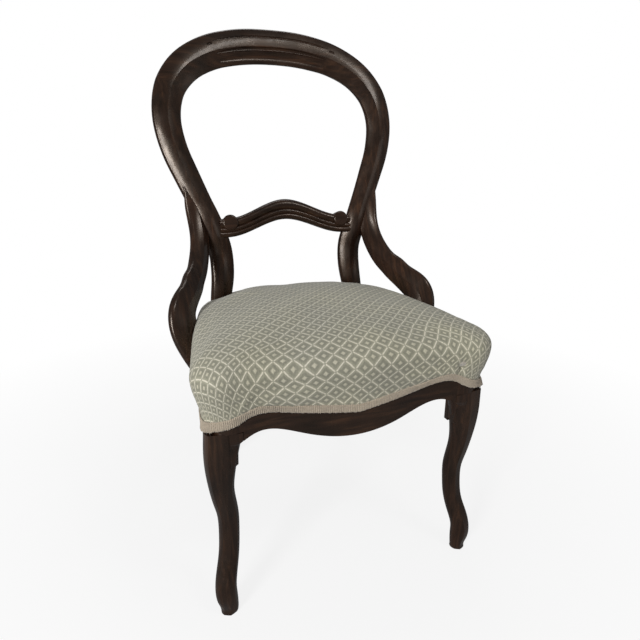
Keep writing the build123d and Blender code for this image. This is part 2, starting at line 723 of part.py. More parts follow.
# ---------------------------------------------------------------- dowels and screws


def drill(piece, pegs):
    """The holes for pegs in a piece, with their clearance."""
    return only(piece.cut(*[peg(start, end, radius + PEG_CLEARANCE) for start, end, radius in pegs]))


def both_sides(shapes):
    return shapes + [mirrored(shape) for shape in shapes]


joint_spot, joint_along, joint_out, _ = back_line.frame(crest_end)
crest_pegs = []
for side in (-1, 1):
    place = joint_spot + joint_out * (side * 11)
    crest_pegs.append(
        (place - joint_along * DOWEL_REACH, place + joint_along * DOWEL_REACH, DOWEL_RADIUS)
    )
cross_y = back_y(cross_face, CROSS_RAIL_HEIGHT)
cross_pegs = [
    (
        Vector(cross_end_x - 30, cross_y, CROSS_RAIL_HEIGHT),
        Vector(cross_end_x + 6, cross_y, CROSS_RAIL_HEIGHT),
        DOWEL_RADIUS,
    )
]
bracket_spot = bracket_member.spot(bracket_member.at_height(BRACKET_TOP - 58, 0, bracket_end))
beside = back_line.spot(waist_t(BRACKET_TOP - 62))
bracket_peg_way = (bracket_spot - beside).normalized()
bracket_pegs = [(bracket_spot + bracket_peg_way * BRACKET_DOWEL_REACH, beside, DOWEL_RADIUS)]

heights = (RAIL_TOP - 14, RAIL_TOP - 36)
front_rail_pegs = []
side_front_pegs = []
side_rear_pegs = []
rear_rail_pegs = []
rail_y = (FRONT_RAIL_THICK + 3) / 2 - FRONT_REACH
for z in heights:
    front_rail_pegs.append(
        (Vector(leg_inner - DOWEL_REACH, rail_y, z), Vector(leg_inner + DOWEL_REACH, rail_y, z), DOWEL_RADIUS)
    )
    x = HALF_FRONT - RAIL_THICK / 2 - 1
    side_front_pegs.append(
        (Vector(x, leg_rear - DOWEL_REACH, z), Vector(x, leg_rear + DOWEL_REACH, z), DOWEL_RADIUS)
    )
    x = HALF_REAR - RAIL_THICK / 2
    side_rear_pegs.append(
        (Vector(x, post_front - DOWEL_REACH, z), Vector(x, post_front + DOWEL_REACH, z), DOWEL_RADIUS)
    )
    y = REAR_REACH - RAIL_THICK / 2
    rear_rail_pegs.append(
        (Vector(post_inner - DOWEL_REACH, y, z), Vector(post_inner + DOWEL_REACH, y, z), DOWEL_RADIUS)
    )


def screw(start, direction, length):
    """A round-headed wood screw whose head sits on the surface at start."""
    shank = peg(start, start + direction * length, SCREW_RADIUS)
    head = peg(start - direction * SCREW_HEAD_THICK, start, SCREW_HEAD_RADIUS)
    return shank.fuse(head)


def screw_hole(start, direction, length):
    return (start, start + direction * (length + 0.5), SCREW_RADIUS)


front_face_middle = Vector(
    (front_corners[0][0] + front_corners[3][0]) / 2, (front_corners[0][1] + front_corners[3][1]) / 2, 0
)
rear_face_middle = Vector(
    (rear_corners[0][0] + rear_corners[3][0]) / 2, (rear_corners[0][1] + rear_corners[3][1]) / 2, 0
)
block_middle = RAIL_TOP - CORNER_BLOCK_DROP - CORNER_BLOCK_HEIGHT / 2


def square_to(corners, inward):
    """Direction square to a brace's long face, into the corner of the frame."""
    dx = corners[3][0] - corners[0][0]
    dy = corners[3][1] - corners[0][1]
    return Vector(dy * inward, -dx * inward, 0).normalized()


front_in = square_to(front_corners, 1)
rear_in = square_to(rear_corners, -1)
corner_screws = []
front_holes = []
rear_holes = []
for z in (block_middle - 10, block_middle + 10):
    start = front_face_middle + Vector(0, 0, z)
    corner_screws.append(screw(start, front_in, FRONT_SCREW_LENGTH))
    front_holes.append(screw_hole(start, front_in, FRONT_SCREW_LENGTH))
    start = rear_face_middle + Vector(0, 0, z)
    corner_screws.append(screw(start, rear_in, REAR_SCREW_LENGTH))
    rear_holes.append(screw_hole(start, rear_in, REAR_SCREW_LENGTH))
outward = Vector(1, 0, 0)
shank = RAIL_THICK - SCREW_HEAD_SINK + BRACKET_BITE
screw_z = RAIL_TOP - BRACKET_SCREW_DROP
screw_y = bracket_member.spot(bracket_member.at_height(screw_z, 0, bracket_end)).Y
start = Vector(seat_side_x(screw_y) - RAIL_THICK + SCREW_HEAD_SINK, screw_y, screw_z)
bracket_screw = screw(start, outward, shank)
bracket_holes = [screw_hole(start, outward, shank)]
head_holes = [(start - outward * 2 * SCREW_HEAD_THICK, start, SCREW_HEAD_RADIUS)]

crest = drill(crest, crest_pegs)
crest = mirrored(drill(mirrored(crest), crest_pegs))
cross_rail = drill(cross_rail, cross_pegs)
cross_rail = mirrored(drill(mirrored(cross_rail), cross_pegs))
front_rail = drill(front_rail, front_rail_pegs)
front_rail = mirrored(drill(mirrored(front_rail), front_rail_pegs))
rear_rail = drill(rear_rail, rear_rail_pegs)
rear_rail = mirrored(drill(mirrored(rear_rail), rear_rail_pegs))
right_post = drill(
    right_post, crest_pegs + cross_pegs + bracket_pegs + side_rear_pegs + rear_rail_pegs + rear_holes
)
right_leg = drill(right_leg, front_rail_pegs + side_front_pegs + front_holes)
right_rail = drill(right_rail, side_front_pegs + side_rear_pegs + bracket_holes + head_holes)
front_block = drill(front_block, front_holes)
rear_block = drill(rear_block, rear_holes)
right_bracket = drill(right_bracket, bracket_pegs + bracket_holes)


def dowels(pegs):
    return Compound(both_sides([peg(*each) for each in pegs]))


# ---------------------------------------------------------------- write the pieces

pieces = {
    "crest_rail": crest,
    "back_post_right": right_post,
    "back_post_left": mirrored(right_post),
    "cross_rail": cross_rail,
    "hip_bracket_right": right_bracket,
    "hip_bracket_left": mirrored(right_bracket),
    "front_leg_right": right_leg,
    "front_leg_left": mirrored(right_leg),
    "front_rail": front_rail,
    "side_rail_right": right_rail,
    "side_rail_left": mirrored(right_rail),
    "rear_rail": rear_rail,
    "corner_block_front_right": front_block,
    "corner_block_front_left": mirrored(front_block),
    "corner_block_rear_right": rear_block,
    "corner_block_rear_left": mirrored(rear_block),
    "stuffing": stuffing,
    "seat_cover": seat_cover,
    "gimp": gimp,
    "hessian": hessian,
    "webbing_lengthwise": Compound(lengthwise),
    "webbing_crosswise": Compound(crosswise),
    "dust_cover": dust_cover,
    "crest_dowels": dowels(crest_pegs),
    "cross_rail_dowels": dowels(cross_pegs),
    "bracket_dowels": dowels(bracket_pegs),
    "front_rail_dowels": dowels(front_rail_pegs),
    "side_rail_dowels": dowels(side_front_pegs + side_rear_pegs),
    "rear_rail_dowels": dowels(rear_rail_pegs),
    "corner_screws": Compound(both_sides(corner_screws)),
    "bracket_screws": Compound(both_sides([bracket_screw])),
}
for name, shape in pieces.items():
    export_step(shape, f"parts/{name}.step")
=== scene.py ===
import bpy
import math
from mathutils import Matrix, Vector
from mathutils.bvhtree import BVHTree


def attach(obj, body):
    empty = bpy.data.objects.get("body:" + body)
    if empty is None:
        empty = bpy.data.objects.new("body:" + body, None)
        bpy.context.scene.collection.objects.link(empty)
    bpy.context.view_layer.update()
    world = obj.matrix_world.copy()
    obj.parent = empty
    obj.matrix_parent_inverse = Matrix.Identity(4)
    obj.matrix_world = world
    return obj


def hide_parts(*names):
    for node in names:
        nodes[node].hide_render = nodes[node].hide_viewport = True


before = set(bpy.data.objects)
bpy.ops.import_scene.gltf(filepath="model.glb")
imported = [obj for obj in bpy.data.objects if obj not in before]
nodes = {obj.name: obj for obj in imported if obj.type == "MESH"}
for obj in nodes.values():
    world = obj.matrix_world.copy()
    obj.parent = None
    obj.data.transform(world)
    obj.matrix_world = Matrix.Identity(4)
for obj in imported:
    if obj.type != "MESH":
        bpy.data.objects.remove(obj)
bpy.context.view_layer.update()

# ---------------------------------------------------------------- back posts
# Each back post and the rear leg below it are one piece of walnut, sawn to the balloon's curve, rounded
# on its back and worked to a soft ridge on its face. The whole chair is stained dark and wax polished.

WALNUT_DARK = (0.0080, 0.0034, 0.0020, 1)
WALNUT_MID = (0.0195, 0.0090, 0.0054, 1)
WALNUT_WARM = (0.045, 0.0205, 0.0105, 1)
WAX_RUBBED, WAX_DULL = 0.20, 0.36  # the polish's roughness
SMOOTH_ANGLE = math.radians(32)  # edges sharper than this stay crisp
ALONG_X, ALONG_Y, ALONG_Z = (0, 0, 0), (0, 0, math.radians(90)), (0, math.radians(90), 0)


def new_material(name):
    material = bpy.data.materials.new(name)
    material.use_nodes = True
    tree = material.node_tree
    return material, tree, tree.nodes["Principled BSDF"]


def place_node(tree, kind, inputs=None, **settings):
    """Adds a shader node, sets its options, and fills or links its inputs."""
    node = tree.nodes.new("ShaderNode" + kind)
    for key, value in settings.items():
        setattr(node, key, value)
    for socket, value in (inputs or {}).items():
        if isinstance(value, bpy.types.NodeSocket):
            tree.links.new(value, node.inputs[socket])
        else:
            node.inputs[socket].default_value = value
    return node


def colour_steps(tree, value, steps):
    ramp = place_node(tree, "ValToRGB", {"Fac": value})
    elements = ramp.color_ramp.elements
    while len(elements) < len(steps):
        elements.new(0.5)
    for element, (place, colour) in zip(elements, steps):
        element.position = place
        element.color = colour
    return ramp.outputs["Color"]


def grey(value):
    return (value, value, value, 1)


def mixed_colour(tree, share, first, second, how="MIX"):
    """Two colours mixed by a share, which may be a socket; a colour mix node's colours are 6 and 7."""
    node = place_node(tree, "Mix", {0: share, 6: first, 7: second}, data_type="RGBA", blend_type=how)
    return node.outputs[2]


def polished_walnut(name, grain, offset=0.0, warmth=0.5):
    """Dark stained walnut: streaked grain along one direction, fine pores, a rubbed wax polish."""
    material, tree, shader = new_material(name)
    spot = place_node(tree, "TexCoord").outputs["Object"]
    turned = place_node(
        tree, "Mapping", {"Vector": spot, "Rotation": grain, "Location": (offset, 0, offset)}
    )
    streaks_at = place_node(tree, "Mapping", {"Vector": turned.outputs[0], "Scale": (1.2, 14, 14)})
    streaks = place_node(
        tree,
        "TexNoise",
        {"Vector": streaks_at.outputs[0], "Scale": 9, "Detail": 7, "Roughness": 0.62, "Distortion": 0.35},
    )
    clouds = place_node(tree, "TexNoise", {"Vector": spot, "Scale": 11, "Detail": 3, "Roughness": 0.5})
    grain_colour = colour_steps(
        tree, streaks.outputs["Fac"], [(0.32, WALNUT_DARK), (0.52, WALNUT_MID), (0.72, WALNUT_WARM)]
    )
    stain = colour_steps(tree, clouds.outputs["Fac"], [(0.3, grey(0.62)), (0.7, grey(1.0 + warmth))])
    stained = mixed_colour(tree, 1.0, grain_colour, stain, "MULTIPLY")
    tree.links.new(stained, shader.inputs["Base Color"])
    pores_at = place_node(tree, "Mapping", {"Vector": turned.outputs[0], "Scale": (60, 900, 900)})
    pores = place_node(tree, "TexNoise", {"Vector": pores_at.outputs[0], "Scale": 1.0, "Detail": 2})
    smears = place_node(tree, "TexNoise", {"Vector": spot, "Scale": 38, "Detail": 5, "Roughness": 0.6})
    gloss = place_node(
        tree,
        "MapRange",
        {
            "Value": smears.outputs["Fac"],
            "From Min": 0.3,
            "From Max": 0.75,
            "To Min": WAX_RUBBED,
            "To Max": WAX_DULL,
        },
    )
    tree.links.new(gloss.outputs[0], shader.inputs["Roughness"])
    ripples = place_node(tree, "TexNoise", {"Vector": streaks_at.outputs[0], "Scale": 3.2, "Detail": 2})
    coarse = place_node(tree, "Bump", {"Height": ripples.outputs["Fac"], "Strength": 0.12, "Distance": 0.002})
    fine = place_node(
        tree,
        "Bump",
        {"Height": pores.outputs["Fac"], "Strength": 0.10, "Distance": 0.0004, "Normal": coarse.outputs[0]},
    )
    tree.links.new(fine.outputs[0], shader.inputs["Normal"])
    shader.inputs["Specular IOR Level"].default_value = 0.42
    shader.inputs["Specular Tint"].default_value = (1.0, 0.84, 0.70, 1)
    shader.inputs["Coat Weight"].default_value = 0.12
    shader.inputs["Coat Roughness"].default_value = 0.10
    return material


def finish_node(name, material):
    """Gives a carried-over CAD node its finish and smooth shading between soft edges."""
    piece = nodes[name]
    piece.data.materials.clear()
    piece.data.materials.append(material)
    piece.data.shade_smooth()
    piece.data.set_sharp_from_angle(angle=SMOOTH_ANGLE)


for side, offset in (("left", 0.31), ("right", 1.7)):
    finish_node(f"back_post_{side}", polished_walnut(f"walnut post {side}", ALONG_Z, offset))

# ---------------------------------------------------------------- crest rail
# The crest closes the balloon. Its grain runs across the chair, and three long flutes are carved into its
# face; it is dowelled to the posts on a slanting joint at each shoulder.

finish_node("crest_rail", polished_walnut("walnut crest", ALONG_X, 2.6, 0.35))

# ---------------------------------------------------------------- cross rail
# The arched cross rail is moulded with a broad bead over two narrow ones and ends in round scrolls, which
# are let into the posts.

finish_node("cross_rail", polished_walnut("walnut cross rail", ALONG_X, 4.1, 0.8))

# ---------------------------------------------------------------- seat rails and corner blocks
# The side and rear rails and the four glued corner blocks are hidden by the cover, so they are left as
# sawn beech.

BEECH_PALE = (0.42, 0.27, 0.15, 1)
BEECH_BROWN = (0.29, 0.17, 0.09, 1)


def sawn_beech(name, grain, offset=0.0):
    """Pale wood straight from the saw: short flecks, saw marks across the grain and a dull surface."""
    material, tree, shader = new_material(name)
    spot = place_node(tree, "TexCoord").outputs["Object"]
    turned = place_node(tree, "Mapping", {"Vector": spot, "Rotation": grain, "Location": (offset, 0, 0)})
    stretched = place_node(tree, "Mapping", {"Vector": turned.outputs[0], "Scale": (2, 24, 24)})
    streaks = place_node(tree, "TexNoise", {"Vector": stretched.outputs[0], "Scale": 8, "Detail": 6})
    colour = colour_steps(tree, streaks.outputs["Fac"], [(0.35, BEECH_BROWN), (0.65, BEECH_PALE)])
    tree.links.new(colour, shader.inputs["Base Color"])
    saw = place_node(
        tree, "TexWave", {"Vector": turned.outputs[0], "Scale": 130, "Distortion": 2, "Detail": 2}
    )
    bump = place_node(tree, "Bump", {"Height": saw.outputs["Fac"], "Strength": 0.25, "Distance": 0.0004})
    tree.links.new(bump.outputs[0], shader.inputs["Normal"])
    shader.inputs["Roughness"].default_value = 0.72
    return material


for side in ("left", "right"):
    finish_node(f"side_rail_{side}", sawn_beech(f"beech side rail {side}", ALONG_Y, 0.4))
    for end in ("front", "rear"):
        finish_node(f"corner_block_{end}_{side}", sawn_beech(f"beech block {end} {side}", ALONG_X, 1.3))
finish_node("rear_rail", sawn_beech("beech rear rail", ALONG_X, 2.2))

# ---------------------------------------------------------------- front legs and apron
# The front legs are cabriole legs sawn from thick walnut. The shaped front rail between them shows below
# the cover, so it is polished too.


def new_piece(name, points, faces, material, smooth=True):
    mesh = bpy.data.meshes.new(name)
    mesh.from_pydata([tuple(p) for p in points], [], faces)
    mesh.validate()
    if smooth:
        mesh.shade_smooth()
    mesh.materials.append(material)
    piece = bpy.data.objects.new(name, mesh)
    bpy.context.scene.collection.objects.link(piece)
    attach(piece, "root")
    return piece


for side, offset in (("left", 5.3), ("right", 6.9)):
    finish_node(f"front_leg_{side}", polished_walnut(f"walnut leg {side}", ALONG_Z, offset, 0.3))
finish_node("front_rail", polished_walnut("walnut apron", ALONG_X, 8.2, 0.3))

# The square inner corner of each leg's block runs down past the apron and ends in a slanting step. Each
# level holds its height, the corner's place across, its front, and the front where it sinks into the leg.
BLOCK_LEVELS = (
    (0.3040, 0.1659, -0.2362, -0.2366),
    (0.2915, 0.1659, -0.2362, -0.2364),
    (0.2875, 0.1702, -0.2350, -0.2358),
    (0.2840, 0.1728, -0.2330, -0.2350),
    (0.2680, 0.1734, -0.2290, -0.2332),
    (0.2490, 0.1735, -0.2250, -0.2315),
    (0.2438, 0.1785, -0.2235, -0.2290),
)
BLOCK_REAR, BLOCK_SUNK, BLOCK_EASED = -0.2073, 0.1860, 0.0022
points, faces = [], []
for way in (-1, 1):
    base = len(points)
    for z, x, front, sunk_front in BLOCK_LEVELS:
        ring = [(x, BLOCK_REAR), (x, front + BLOCK_EASED), (x + 0.3 * BLOCK_EASED, front + 0.3 * BLOCK_EASED)]
        ring += [(x + BLOCK_EASED, front), (BLOCK_SUNK, sunk_front), (BLOCK_SUNK, BLOCK_REAR)]
        points += [(way * px, py, z) for px, py in ring]
    rings = [[base + 6 * r + k for k in range(6)] for r in range(len(BLOCK_LEVELS))]
    sides = [tuple(rings[0]), tuple(reversed(rings[-1]))]
    for high, low in zip(rings, rings[1:]):
        sides += [(high[k], low[k], low[(k + 1) % 6], high[(k + 1) % 6]) for k in range(6)]
    faces += sides if way == 1 else [tuple(reversed(side)) for side in sides]
leg_blocks = new_piece("leg_block_corners", points, faces, nodes["front_leg_left"].data.materials[0], False)

# ---------------------------------------------------------------- hip brackets
# A curved bracket braces each back post against the side rail; it is dowelled to the post and screwed
# through the rail from inside.

BRACKET_GRAIN = (math.radians(-60), 0, math.radians(90))
for side, offset in (("left", 9.4), ("right", 10.8)):
    finish_node(f"hip_bracket_{side}", polished_walnut(f"walnut bracket {side}", BRACKET_GRAIN, offset, 0.7))

# ---------------------------------------------------------------- dowels and screws
# Birch dowels join the frame. Steel wood screws hold the corner blocks and the feet of the brackets.

for joint in ("crest", "cross_rail", "bracket", "front_rail", "side_rail", "rear_rail"):
    finish_node(f"{joint}_dowels", sawn_beech(f"birch {joint} dowels", ALONG_X, 3.0))

steel, tree, shader = new_material("steel wood screws")
scratches = place_node(tree, "TexNoise", {"Scale": 900, "Detail": 4})
dulled = place_node(tree, "MapRange", {"Value": scratches.outputs["Fac"], "To Min": 0.3, "To Max": 0.55})
tree.links.new(dulled.outputs[0], shader.inputs["Roughness"])
steel_colour = colour_steps(
    tree, scratches.outputs["Fac"], [(0.3, (0.26, 0.25, 0.23, 1)), (0.7, (0.46, 0.45, 0.43, 1))]
)
tree.links.new(steel_colour, shader.inputs["Base Color"])
shader.inputs["Metallic"].default_value = 1.0
for joint in ("corner", "bracket"):
    finish_node(f"{joint}_screws", steel)

# ---------------------------------------------------------------- webbing
# Four strips of jute webbing run front to back and five from side to side, woven over and under each
# other and tacked to the tops of the rails. A brown thread runs along both edges of each strip.

WEBBING_WIDTH, WEBBING_PITCH, WEBBING_THICK = 0.050, 0.060, 0.0012
WEBBING_LOW, WEBBING_HIGH = 0.3527, 0.3542
SEAT_MIDDLE = -0.047
LENGTHWISE_ENDS = (-0.222, 0.135)
JUTE, JUTE_SHADE, JUTE_STRIPE = (0.40, 0.29, 0.16, 1), (0.24, 0.165, 0.085, 1), (0.16, 0.055, 0.03, 1)


def plain_weave(tree, vector, threads, depth):
    """Height of an over-and-under weave with so many threads to the metre, as a bump."""
    across = place_node(tree, "TexWave", {"Vector": vector, "Scale": threads / 20}, bands_direction="X")
    along = place_node(tree, "TexWave", {"Vector": vector, "Scale": threads / 20}, bands_direction="Y")
    sides = {0: across.outputs["Fac"], 1: along.outputs["Fac"]}
    height = place_node(tree, "Math", sides, operation="MAXIMUM")
    return place_node(tree, "Bump", {"Height": height.outputs[0], "Strength": 0.6, "Distance": depth})


def jute_webbing(name, along):
    """Coarse jute with a brown stripe near each edge of the strip; strips repeat at the webbing's pitch."""
    material, tree, shader = new_material(name)
    spot = place_node(tree, "TexCoord").outputs["Object"]
    parts = place_node(tree, "SeparateXYZ", {"Vector": spot})
    across, shift = ("X", WEBBING_PITCH / 2) if along == "Y" else ("Y", -SEAT_MIDDLE)
    place = place_node(tree, "Math", {0: parts.outputs[across], 1: shift}, operation="ADD")
    turn = place_node(tree, "Math", {0: place.outputs[0], 1: WEBBING_PITCH}, operation="PINGPONG")
    side = place_node(tree, "Math", {0: turn.outputs[0], 1: WEBBING_PITCH / 2}, operation="PINGPONG")
    stripe = colour_steps(
        tree,
        place_node(tree, "Math", {0: side.outputs[0], 1: 20.0}, operation="MULTIPLY").outputs[0],
        [(0.30, JUTE_SHADE), (0.34, JUTE_STRIPE), (0.40, JUTE_STRIPE), (0.44, JUTE_SHADE)],
    )
    slubs = place_node(tree, "TexNoise", {"Vector": spot, "Scale": 420, "Detail": 4})
    tree.links.new(mixed_colour(tree, slubs.outputs["Fac"], stripe, JUTE), shader.inputs["Base Color"])
    bump = plain_weave(tree, spot, 900, 0.0005)
    tree.links.new(bump.outputs[0], shader.inputs["Normal"])
    shader.inputs["Roughness"].default_value = 0.9
    shader.inputs["Sheen Weight"].default_value = 0.3
    return material


def woven_strip(start, end, side, height_at, steps=90):
    """Points and faces of a flat strip with thickness, whose middle line follows height_at."""
    points, faces = [], []
    for k in range(steps + 1):
        spot = start.lerp(end, k / steps)
        z = height_at(spot)
        for across, up in ((-0.5, 0), (-0.48, 1), (0.48, 1), (0.5, 0), (0.48, -1), (-0.48, -1)):
            points.append(spot + side * (across * WEBBING_WIDTH) + Vector((0, 0, z + up * WEBBING_THICK / 2)))
    for k in range(steps):
        for i in range(6):
            j = (i + 1) % 6
            faces.append((6 * k + i, 6 * k + j, 6 * k + 6 + j, 6 * k + 6 + i))
    faces.append(tuple(range(6)))
    faces.append(tuple(6 * steps + i for i in reversed(range(6))))
    return points, faces


def over_and_under(place, parity):
    """Height of a strip that passes over one crossing strip and under the next."""
    wave = math.cos(math.pi * place / WEBBING_PITCH + math.pi * parity)
    return WEBBING_LOW + (WEBBING_HIGH - WEBBING_LOW) * (0.5 + 0.5 * max(-1, min(1, 1.6 * wave)))


SIDE_REAR_Y, SIDE_RUN, SIDE_REAR_X, SIDE_SPLAY, SIDE_BOW = 0.1145, 0.3105, 0.166, 0.048, 0.005
TACKED_INSIDE = 0.0085  # a strip's end to the rail's outer face


def seat_side_x(y):
    """X of the side rail's outer face at y."""
    share = (SIDE_REAR_Y - y) / SIDE_RUN
    return SIDE_REAR_X + SIDE_SPLAY * share + SIDE_BOW * (1 - (2 * share - 1) ** 2)


points, faces = [], []
for k in range(4):
    x = (k - 1.5) * WEBBING_PITCH
    start, end = Vector((x, LENGTHWISE_ENDS[0], 0)), Vector((x, LENGTHWISE_ENDS[1], 0))
    strip, sides = woven_strip(
        start, end, Vector((1, 0, 0)), lambda spot, k=k: over_and_under(spot.y - SEAT_MIDDLE, k)
    )
    faces += [tuple(i + len(points) for i in face) for face in sides]
    points += strip
jute_lengthwise = jute_webbing("jute webbing lengthwise", "Y")
lengthwise = new_piece("webbing_front_to_back", points, faces, jute_lengthwise, False)
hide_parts("webbing_lengthwise")

points, faces = [], []
for k in range(5):
    y = SEAT_MIDDLE + (k - 2) * WEBBING_PITCH
    half = seat_side_x(y + WEBBING_WIDTH / 2) - TACKED_INSIDE
    strip, sides = woven_strip(
        Vector((-half, y, 0)),
        Vector((half, y, 0)),
        Vector((0, 1, 0)),
        lambda spot, k=k: over_and_under(spot.x - WEBBING_PITCH / 2, k + 1),
    )
    faces += [tuple(i + len(points) for i in face) for face in sides]
    points += strip
jute_crosswise = jute_webbing("jute webbing crosswise", "X")
crosswise = new_piece("webbing_side_to_side", points, faces, jute_crosswise, False)
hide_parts("webbing_crosswise")

# ---------------------------------------------------------------- hessian
# A sheet of hessian, about 414 by 363 mm, is stretched over the webbing and tacked to the rails. Its
# outline, which the other soft pieces share, has bowed sides, a front with two shallow hollows, and
# notches at the rear corners where the posts stand.

HESSIAN_HEIGHT = 0.3556
HALF_FRONT, HALF_LENGTH = 0.214, 0.191
POST_FRONT, POST_INNER = 0.1136, 0.1236
FRONT_BULGE, REAR_BULGE = 1.27, 0.3  # reach at the front and rear, as a share of that at the sides
REAR_DRAW, REAR_DRAW_LAST = 0.6, -0.03  # the crown keeps this much further from the rear edge
POST_GAP, POST_TAPER_FROM, POST_NARROWS, POST_LEANS = 0.0008, 0.385, 0.22, 0.08


def arc_points(start, middle, end, count):
    """Points along the arc through three points, without the last one."""
    (ax, ay), (bx, by), (cx, cy) = start, middle, end
    d = 2 * (ax * (by - cy) + bx * (cy - ay) + cx * (ay - by))
    ux = ((ax**2 + ay**2) * (by - cy) + (bx**2 + by**2) * (cy - ay) + (cx**2 + cy**2) * (ay - by)) / d
    uy = ((ax**2 + ay**2) * (cx - bx) + (bx**2 + by**2) * (ax - cx) + (cx**2 + cy**2) * (bx - ax)) / d
    radius = math.hypot(ax - ux, ay - uy)
    first = math.atan2(ay - uy, ax - ux)
    turn = math.atan2(by - uy, bx - ux) - first
    last = math.atan2(cy - uy, cx - ux) - first
    turn, last = turn % (2 * math.pi), last % (2 * math.pi)
    if turn > last:
        last -= 2 * math.pi
    return [
        (ux + radius * math.cos(first + last * k / count), uy + radius * math.sin(first + last * k / count))
        for k in range(count)
    ]


def line_points(start, end, count):
    return [
        (start[0] + (end[0] - start[0]) * k / count, start[1] + (end[1] - start[1]) * k / count)
        for k in range(count)
    ]


before_corner = arc_points((-0.070, -0.234), (0, -0.238), (0.070, -0.234), 24)[12:]
before_corner += arc_points((0.070, -0.234), (0.124, -0.231), (0.173, -0.237), 17)
before_corner += arc_points((0.173, -0.237), (0.2055, -0.228), (0.214, -0.196), 12)
before_corner += arc_points((0.214, -0.196), (0.195, -0.04075), (0.166, 0.1145), 52)
rear = arc_points((0.144, 0.143), (0, 0.146), (-0.144, 0.143), 48)[:24]
round_corner = arc_points((0.166, 0.1145), (0.162, 0.137), (0.144, 0.143), 12)
notched_corner = line_points((0.166, POST_FRONT), (POST_INNER, POST_FRONT), 6)
notched_corner += line_points((POST_INNER, POST_FRONT), (POST_INNER, 0.1435), 6)
notched_rear = [(x * POST_INNER / 0.144, y) for x, y in rear]


def whole_outline(half):
    """Both halves of an outline, from the middle of the front round to the right and back."""
    left = [(-x, y) for x, y in reversed(half[1:])]
    return half + [(0, half[-1][1])] + left


full_outline = whole_outline(before_corner + round_corner + rear)
notched_outline = whole_outline(before_corner + notched_corner + notched_rear)
AROUND = len(full_outline)


def moved_out(point, out, skin=0.0):
    """A point of the outline moved outwards; the front bulges more and the rear is flatter."""
    x, y = point
    if y < SEAT_MIDDLE:
        reach = max(FRONT_BULGE * out, out)
    elif out > 0:
        reach = REAR_BULGE * out
    else:
        reach = out + REAR_DRAW * max(out, REAR_DRAW_LAST)
    return (
        x * (1 + (out + skin) / HALF_FRONT),
        SEAT_MIDDLE + (y - SEAT_MIDDLE) * (1 + (reach + skin) / HALF_LENGTH),
    )


def clear_of_post(x, y, z):
    """Moves a point out of the square notch in which a back post stands."""
    tapered = max(0.0, z - POST_TAPER_FROM)
    inner = POST_INNER - POST_GAP - tapered * POST_NARROWS
    front = POST_FRONT - POST_GAP + tapered * POST_LEANS
    deep_x, deep_y = abs(x) - inner, y - front
    if deep_x > 0 and deep_y > 0:
        if deep_x < deep_y:
            x = math.copysign(inner, x)
        else:
            y = front
    return x, y


def sheet_rings(rings, z_of):
    """Points and faces of a sheet made of rings of one count of points, closed at its middle."""
    points, faces = [], []
    for ring in rings:
        points += [(x, y, z_of(x, y)) for x, y in ring]
    count = len(rings[0])
    for r in range(len(rings) - 1):
        for k in range(count):
            j = (k + 1) % count
            faces.append((r * count + k, r * count + j, (r + 1) * count + j, (r + 1) * count + k))
    points.append((0, SEAT_MIDDLE, z_of(0, SEAT_MIDDLE)))
    last = (len(rings) - 1) * count
    for k in range(count):
        faces.append((last + k, last + (k + 1) % count, len(points) - 1))
    return points, faces


def sheet_outlines(out, count=14):
    """Rings from the seat's notched outline, moved by out, in to the middle."""
    outline = [clear_of_post(*moved_out(point, out), HESSIAN_HEIGHT) for point in notched_outline]
    rings = []
    for k in range(count):
        share = 1 - k / count
        rings.append([(x * share, SEAT_MIDDLE + (y - SEAT_MIDDLE) * share) for x, y in outline])
    return rings


def cloth_cut(name, base, shade, threads, depth, sheen=0.3):
    """A plain woven cloth with uneven threads."""
    material, tree, shader = new_material(name)
    spot = place_node(tree, "TexCoord").outputs["Object"]
    slubs_at = place_node(tree, "Mapping", {"Vector": spot, "Scale": (1, 6, 1)})
    slubs = place_node(tree, "TexNoise", {"Vector": slubs_at.outputs[0], "Scale": 260, "Detail": 4})
    colour = colour_steps(tree, slubs.outputs["Fac"], [(0.35, shade), (0.65, base)])
    tree.links.new(colour, shader.inputs["Base Color"])
    bump = plain_weave(tree, spot, threads, depth)
    tree.links.new(bump.outputs[0], shader.inputs["Normal"])
    shader.inputs["Roughness"].default_value = 0.92
    shader.inputs["Sheen Weight"].default_value = sheen
    return material


points, faces = sheet_rings(
    sheet_outlines(-0.008), lambda x, y: HESSIAN_HEIGHT + 0.0002 * math.sin(60 * x) * math.sin(55 * y)
)
hessian = new_piece(
    "hessian_sheet",
    points,
    faces,
    cloth_cut("hessian", (0.46, 0.34, 0.19, 1), (0.27, 0.19, 0.10, 1), 1100, 0.0004),
)
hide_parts("hessian")

# ---------------------------------------------------------------- stuffing
# Curled hair and wadding, built up in the middle and stitched to a firm rolled edge that overhangs the
# frame, give the seat its crown. It falls away towards the posts.

# height, reach past the frame, and how far a covering's thickness lies on top rather than at the side
LEVELS = (
    (0.300, 0.0006, 0.0),
    (0.328, 0.0012, 0.0),
    (0.350, 0.0058, 0.0),
    (0.371, 0.0108, 0.0),
    (0.389, 0.0120, 0.2),
    (0.4005, 0.0058, 0.6),
    (0.4078, -0.0070, 0.9),
    (0.4135, -0.0280, 1.0),
    (0.4192, -0.0640, 1.0),
    (0.4236, -0.1060, 1.0),
    (0.4264, -0.1580, 1.0),
)
RIM = 4  # the level where the cushion is widest
COVER_SKIN, PAD_SKIN = 0.0019, -0.0015  # cover and stuffing, each from the surface that the levels give
SIDE_FROM, SIDE_OVER = 0.335, 0.055  # heights between which the cushion's own bumps and falls set in
REAR_FALL, REAR_FALL_SPOT, REAR_FALL_REACH = 0.013, (0.160, 0.125), 0.060
CORNER_PULL, CORNER_SPOT, CORNER_REACH = 0.0065, (0.215, -0.225), 0.075  # the right front corner, drawn in
NOTCH_LAST_OUT, NOTCH_FADE = -0.035, 0.031  # the crown has no notches where it lies further in


